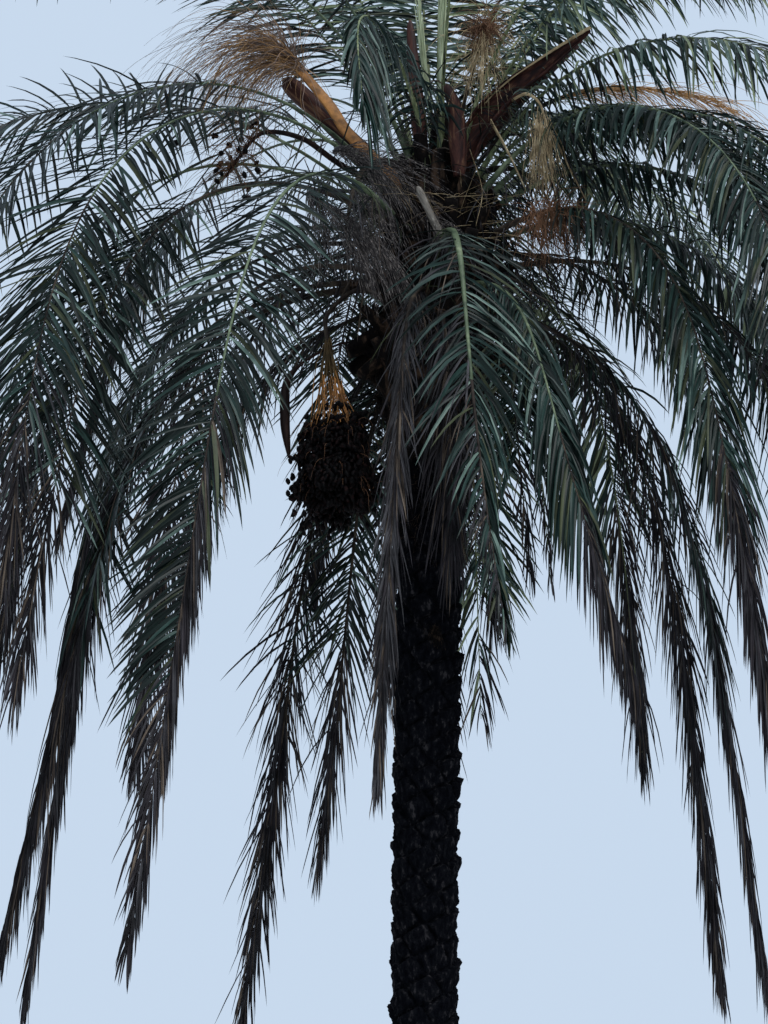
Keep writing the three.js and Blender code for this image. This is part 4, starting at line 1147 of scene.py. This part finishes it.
def spathe_pieces():
    for number, (name, azimuth, rise, fall, length, level, width, slim) in enumerate(SPATHES):
        u = np.linspace(0, 1, 36)
        place, tangent, side, normal = Line(azimuth, rise, fall, 0.8, length, level).at(u)
        if name == "spathe_centre_left":
            place = place + tangent * (0.24 * length * u)[:, None] + np.array([0.0, -0.1, 0.0])
        if name in OWN_PATHS:
            place = curve_through(OWN_PATHS[name], 36)
            tangent = unit(np.gradient(place, axis=0))
            side = unit(side - tangent * (side * tangent).sum(axis=1, keepdims=True))
            normal = np.cross(tangent, side)
        girths = [0.6, 0.8, 1, mix(slim, 1, 0.6), slim, 0.7 * slim, 0.1]
        girth = width * shaped(36, [0, 0.1, 0.35, 0.7, 0.93, 0.98, 1], girths)
        girth = girth * (1 + 0.08 * (lattice_noise(place * 22, number) - 0.5))
        broken, flat = name == "broken_leaf_stalk", name == "spathe_right"
        profile = RIB_PROFILE if broken else boat_profile(math.radians(118 if flat else 146), 0.07, 13)
        roll = math.radians(96 if flat else 30 * (noise(number, 5) - 0.5))
        side, normal = turned(side, normal, roll)
        pile = Pile()
        sweep(pile, place, side, normal, profile, 1.1 * girth, 1.05 * girth)
        lean = 0 if rise > 70 else math.copysign(SPATHE_LEAN, math.cos(math.radians(azimuth)))
        pile.build(name + "_shell", DRY_WOOD if broken else SPATHE_WOOD[lean], [name], "spathe")
        if flat:
            strip = Pile()
            above = place + UP * (0.5 * girth)[:, None] - outward(90) * 0.02
            sweep(strip, above[12:], side[12:], normal[12:], RIB_PROFILE, np.linspace(0.006, 0.022, 24), 0.012)
            strip.build(name + "_strip", STRANDS["straw"], [name], "spathe")


def hanging_spathe():
    azimuth = math.degrees(math.atan2(HANGING_TOP[1], HANGING_TOP[0]))
    root = on_boss(azimuth, HANGING_TOP[2] + 0.17)
    head = HANGING_TOP + np.array([-0.045, 0, -0.06])
    foot = head - UP * HANGING_LENGTH
    shoulder = mix(root, head, 0.55) + UP * 0.08
    bow = mix(head, foot, 0.5) + np.array([-0.03, 0, 0])
    path = curve_through([root, shoulder, head, bow, foot], 44)
    pod = np.sin(np.pi * np.clip((np.linspace(0, 1, 44) - 0.42) / 0.58, 0, 1))
    girth = 0.018 + HANGING_WIDTH * pod**0.8
    pile = Pile()
    sweep_path(pile, path, girth, 0.8 * girth, boat_profile(math.radians(120), 0.09))
    pile.build("spathe_hanging_shell", SPATHE_DARK, ["spathe_hanging"], "spathe")


def spear_piece():
    pile = Pile()
    rng = np.random.default_rng(5)
    for azimuth, tilt, length, radius in SPEARS:
        out = outward(azimuth)
        lean = math.radians(tilt)
        axis = out * math.sin(lean) + UP * math.cos(lean)
        root = out * 0.022 + np.array([axis_x(BOSS_TOP), 0, BOSS_TOP - 0.06])
        u = np.linspace(0, 1, 24)
        path = root + axis * (u * length)[:, None]
        side = np.broadcast_to(unit(np.cross(UP, out)), path.shape)
        normal = np.cross(axis, side)
        girth = 2 * radius * (1 - SPEAR_TAPER * u)
        sweep(pile, path, side, normal, round_profile(10, 0.8), girth, girth)

        # Folded leaflets are pressed to the spear, and a few of them spring free
        count = 70
        share = rng.uniform(0.25, 0.95, (count, 1))
        around = rng.uniform(0, 2 * np.pi, (count, 1))
        away = side[0] * np.cos(around) + normal[0] * np.sin(around)
        start = root + axis * (share * length) + away * (radius * (1 - SPEAR_TAPER * share) * 0.8)
        heading = axis + away * rng.uniform(0.01, 0.16, (count, 1)) * share
        reach = rng.uniform(0.22, 0.42, count) * (1.25 - share[:, 0])
        leaflets(pile, start, heading, away, reach, 0.016, 0.02, 0.9, 0.2)
    pile.build("spear_bundle", SPEAR, ["spear_leaves"], "frond_green")

    # A dark ragged sleeve of old sheath stands round its foot
    sleeve = Pile()
    level = np.linspace(BOSS_TOP - 0.1, BOSS_TOP + 0.36, 30)
    path = round_axis(0, level, 0) + SLEEVE_SHIFT
    ragged = 0.9 + 0.3 * np.array([noise(k, 2) for k in range(len(level))])
    girth = np.interp(level, SLEEVE_LEVELS, [0.15, 0.13, 0.1, 0.05]) * ragged
    across = np.broadcast_to(np.array([1.0, 0.0, 0.0]), path.shape)
    sweep(sleeve, path, across, np.cross(UP, across), round_profile(14), girth, girth)
    count = 260
    around = rng.uniform(0, 360, count)
    level = rng.uniform(6.95, 7.34, count)
    start = round_axis(around, level, np.interp(level, SLEEVE_LEVELS, [0.07, 0.06, 0.045, 0.02])) + SLEEVE_SHIFT
    heading = outward(around) * rng.uniform(0.3, 1.2, (count, 1)) + UP * rng.uniform(0.2, 1.2, (count, 1))
    threads(sleeve, start, heading, rng.uniform(0.03, 0.09, count), 0.0022, 1.0, 4, rng, 1.5)
    sleeve.build("spear_sleeve", BASES, ["spear_leaves"], "leaf_base")


# Bunch of dates


def bunch_pieces():
    rng = np.random.default_rng(42)
    neck = BUNCH_CENTRE + UP * BUNCH_NECK + np.array([-0.05, 0, -0.03])
    root = on_boss(BUNCH_STALK_AZIMUTH, BUNCH_STALK_BASE)
    over = root + outward(BUNCH_STALK_AZIMUTH) * 0.2 + UP * 0.1
    path = curve_through([root, over, neck + UP * 0.15, neck - UP * 0.03], 30)
    stalk = Pile()
    sweep_path(stalk, path, np.linspace(0.04, 0.03, 30), np.linspace(0.028, 0.022, 30))
    stalk.build("bunch_stalk", STEM_BROWN, ["date_bunch"], "spent_stalk")

    # Strands part at the neck and run down into the mass
    count = 44
    turn = rng.uniform(0, 2 * np.pi, count)
    spread = np.sqrt(rng.random(count))
    start = neck + rng.normal(0, 0.008, (count, 3))
    reach = 0.5 * BUNCH_WIDTH * 0.8 * spread
    goal = np.stack([reach * np.cos(turn), reach * np.sin(turn), np.full(count, 0.34 * BUNCH_HEIGHT)], axis=1)
    goal = BUNCH_CENTRE + goal
    share = np.linspace(0, 1, 10)[None, :, None]
    paths = start[:, None] * (1 - share) + goal[:, None] * share
    pinch = 0.1 * np.sin(np.pi * share)  # the strands hang closer together half-way
    paths = paths - (goal - start)[:, None] * pinch * [1, 1, 0]
    bow = np.sin(np.pi * share) * rng.normal(0, 0.022, (count, 1, 3))
    paths = paths + bow + 0.0025 * rng.normal(size=paths.shape) * (share > 0) * (share < 1)
    tops, strands = Pile(), Pile()
    for path in paths:
        _, side, normal = frames_along(path)
        for pile, p, size in [(tops, slice(0, 5), 0.0056), (strands, slice(4, None), 0.005)]:
            sweep(pile, path[p], side[p], normal[p], round_profile(4), size, size)
    tops.build("bunch_strand_tops", STRANDS["olive"], ["date_bunch"], "spent_stalk")
    strands.build("bunch_strands", STRANDS["orange"], ["date_bunch"], "spent_stalk")

    # Bare strand ends over and round the mass
    ends = Pile()
    count = 90
    turn = rng.uniform(0, 2 * np.pi, count)
    out = np.stack([np.cos(turn), np.sin(turn), np.zeros(count)], axis=1)
    place = BUNCH_CENTRE + out * (0.5 * BUNCH_WIDTH * rng.uniform(0.45, 0.95, (count, 1)))
    place = place + UP * (BUNCH_HEIGHT * rng.uniform(-0.2, 0.4, (count, 1)))
    heading = out + UP * rng.uniform(-0.6, 0.5, (count, 1)) + rng.normal(0, 0.5, (count, 3))
    threads(ends, place, heading, rng.uniform(0.06, 0.2, count), 0.0016, 2.4, 7, rng, 2.0)
    ends.build("bunch_bare_ends", STRANDS["rust"], ["date_bunch"], "spent_stalk")

    # The dates lie close in lumps round a dark heart, so that the mass isn't see-through
    fruit = Pile()
    number = np.arange(DATE_COUNT)
    lift = np.arcsin(np.clip(2 * (number + 0.5) / DATE_COUNT - 1, -1, 1))
    turn = np.radians(GOLDEN_ANGLE) * number
    girth = 0.5 * BUNCH_WIDTH * np.cos(lift) ** 0.62 * (1 - 0.02 * np.sin(lift))
    shell = np.stack([girth * np.cos(turn), girth * np.sin(turn), 0.5 * BUNCH_HEIGHT * np.sin(lift)], axis=1)
    lumps = 0.92 + 0.9 * (rough_noise(shell * 9 + 20, 8, 3) - 0.5)
    depth = 1 - 0.2 * rng.random(DATE_COUNT)
    spots = BUNCH_CENTRE + shell * (depth * lumps)[:, None]
    axis = unit(shell) * 0.35 - UP + rng.normal(0, 0.5, (DATE_COUNT, 3))
    length, radius = rng.uniform(0.04, 0.064, DATE_COUNT), rng.uniform(0.009, 0.0145, DATE_COUNT)
    beads(fruit, spots, axis, length, radius, rng)
    beads(fruit, BUNCH_CENTRE[None], UP[None], 0.66 * BUNCH_HEIGHT, 0.29 * BUNCH_WIDTH, rng, 14, 22)

    # Loose ones hang a little off the mass and on the strands
    pick = rng.choice(DATE_COUNT, LOOSE_DATES, replace=False)
    away = BUNCH_CENTRE + shell[pick] * rng.uniform(1.02, 1.22, (LOOSE_DATES, 1)) - UP * 0.01
    beads(fruit, away, rng.normal(0, 0.4, away.shape) - UP, 0.042, 0.0125, rng)
    high = paths[rng.integers(0, len(paths), HIGH_DATES), rng.integers(7, 10, HIGH_DATES)]
    high = high + rng.normal(0, 0.012, high.shape)
    beads(fruit, high, rng.normal(0, 0.5, high.shape) - UP, 0.036, 0.011, rng)
    fruit.build("bunch_dates", DATE_SKIN, ["date_bunch"], "dates")


trunk_piece()
trunk_tuft()
boss_pieces()
frond_pieces()
stalk_pieces()
left_broom()
right_tangles()
front_brooms()
straws()
old_dates()
spathe_pieces()
hanging_spathe()
spear_piece()
bunch_pieces()


# Stage


def place_item(name, data, turn, location=(0, 0, 0)):
    item = bpy.data.objects.new(name, data)
    item.rotation_euler = [math.radians(v) for v in turn]
    item.location = location
    bpy.context.scene.collection.objects.link(item)
    return item


def floor():
    bpy.ops.mesh.primitive_circle_add(vertices=96, radius=70, fill_type="NGON", location=(0, 0, 0))
    ground = bpy.context.object
    ground.name = "floor"
    tones = [(184, 185, 185), (192, 193, 193)]
    ground.data.materials.append(surface("pale_floor", tones, 2, (0.85, 0.95), 40, (0.05, 0.002), specular=0.2))


def lights():
    world = bpy.data.worlds.new("pale_studio")
    bpy.context.scene.world = world
    world.use_nodes = True
    back = world.node_tree.nodes["Background"]
    back.inputs["Color"].default_value = (0.68, 0.82, 1.0, 1)
    back.inputs["Strength"].default_value = 0.85
    for name, turn, strength, angle in [("key", (36, 0, 42), 2.9, 40), ("fill", (50, 0, -60), 0.35, 60)]:
        lamp = bpy.data.lights.new(name, "SUN")
        lamp.energy = strength
        lamp.angle = math.radians(angle)
        place_item(name, lamp, turn)


def camera():
    data = bpy.data.cameras.new("camera")
    data.lens = 80
    data.sensor_width = 36
    data.sensor_fit = "AUTO"
    data.clip_end = 400
    bpy.context.scene.camera = place_item("camera", data, (106, 0, 0), (-0.1965, -11.8, 1.6))


floor()
lights()
camera()
bpy.context.scene.view_settings.view_transform = "Standard"
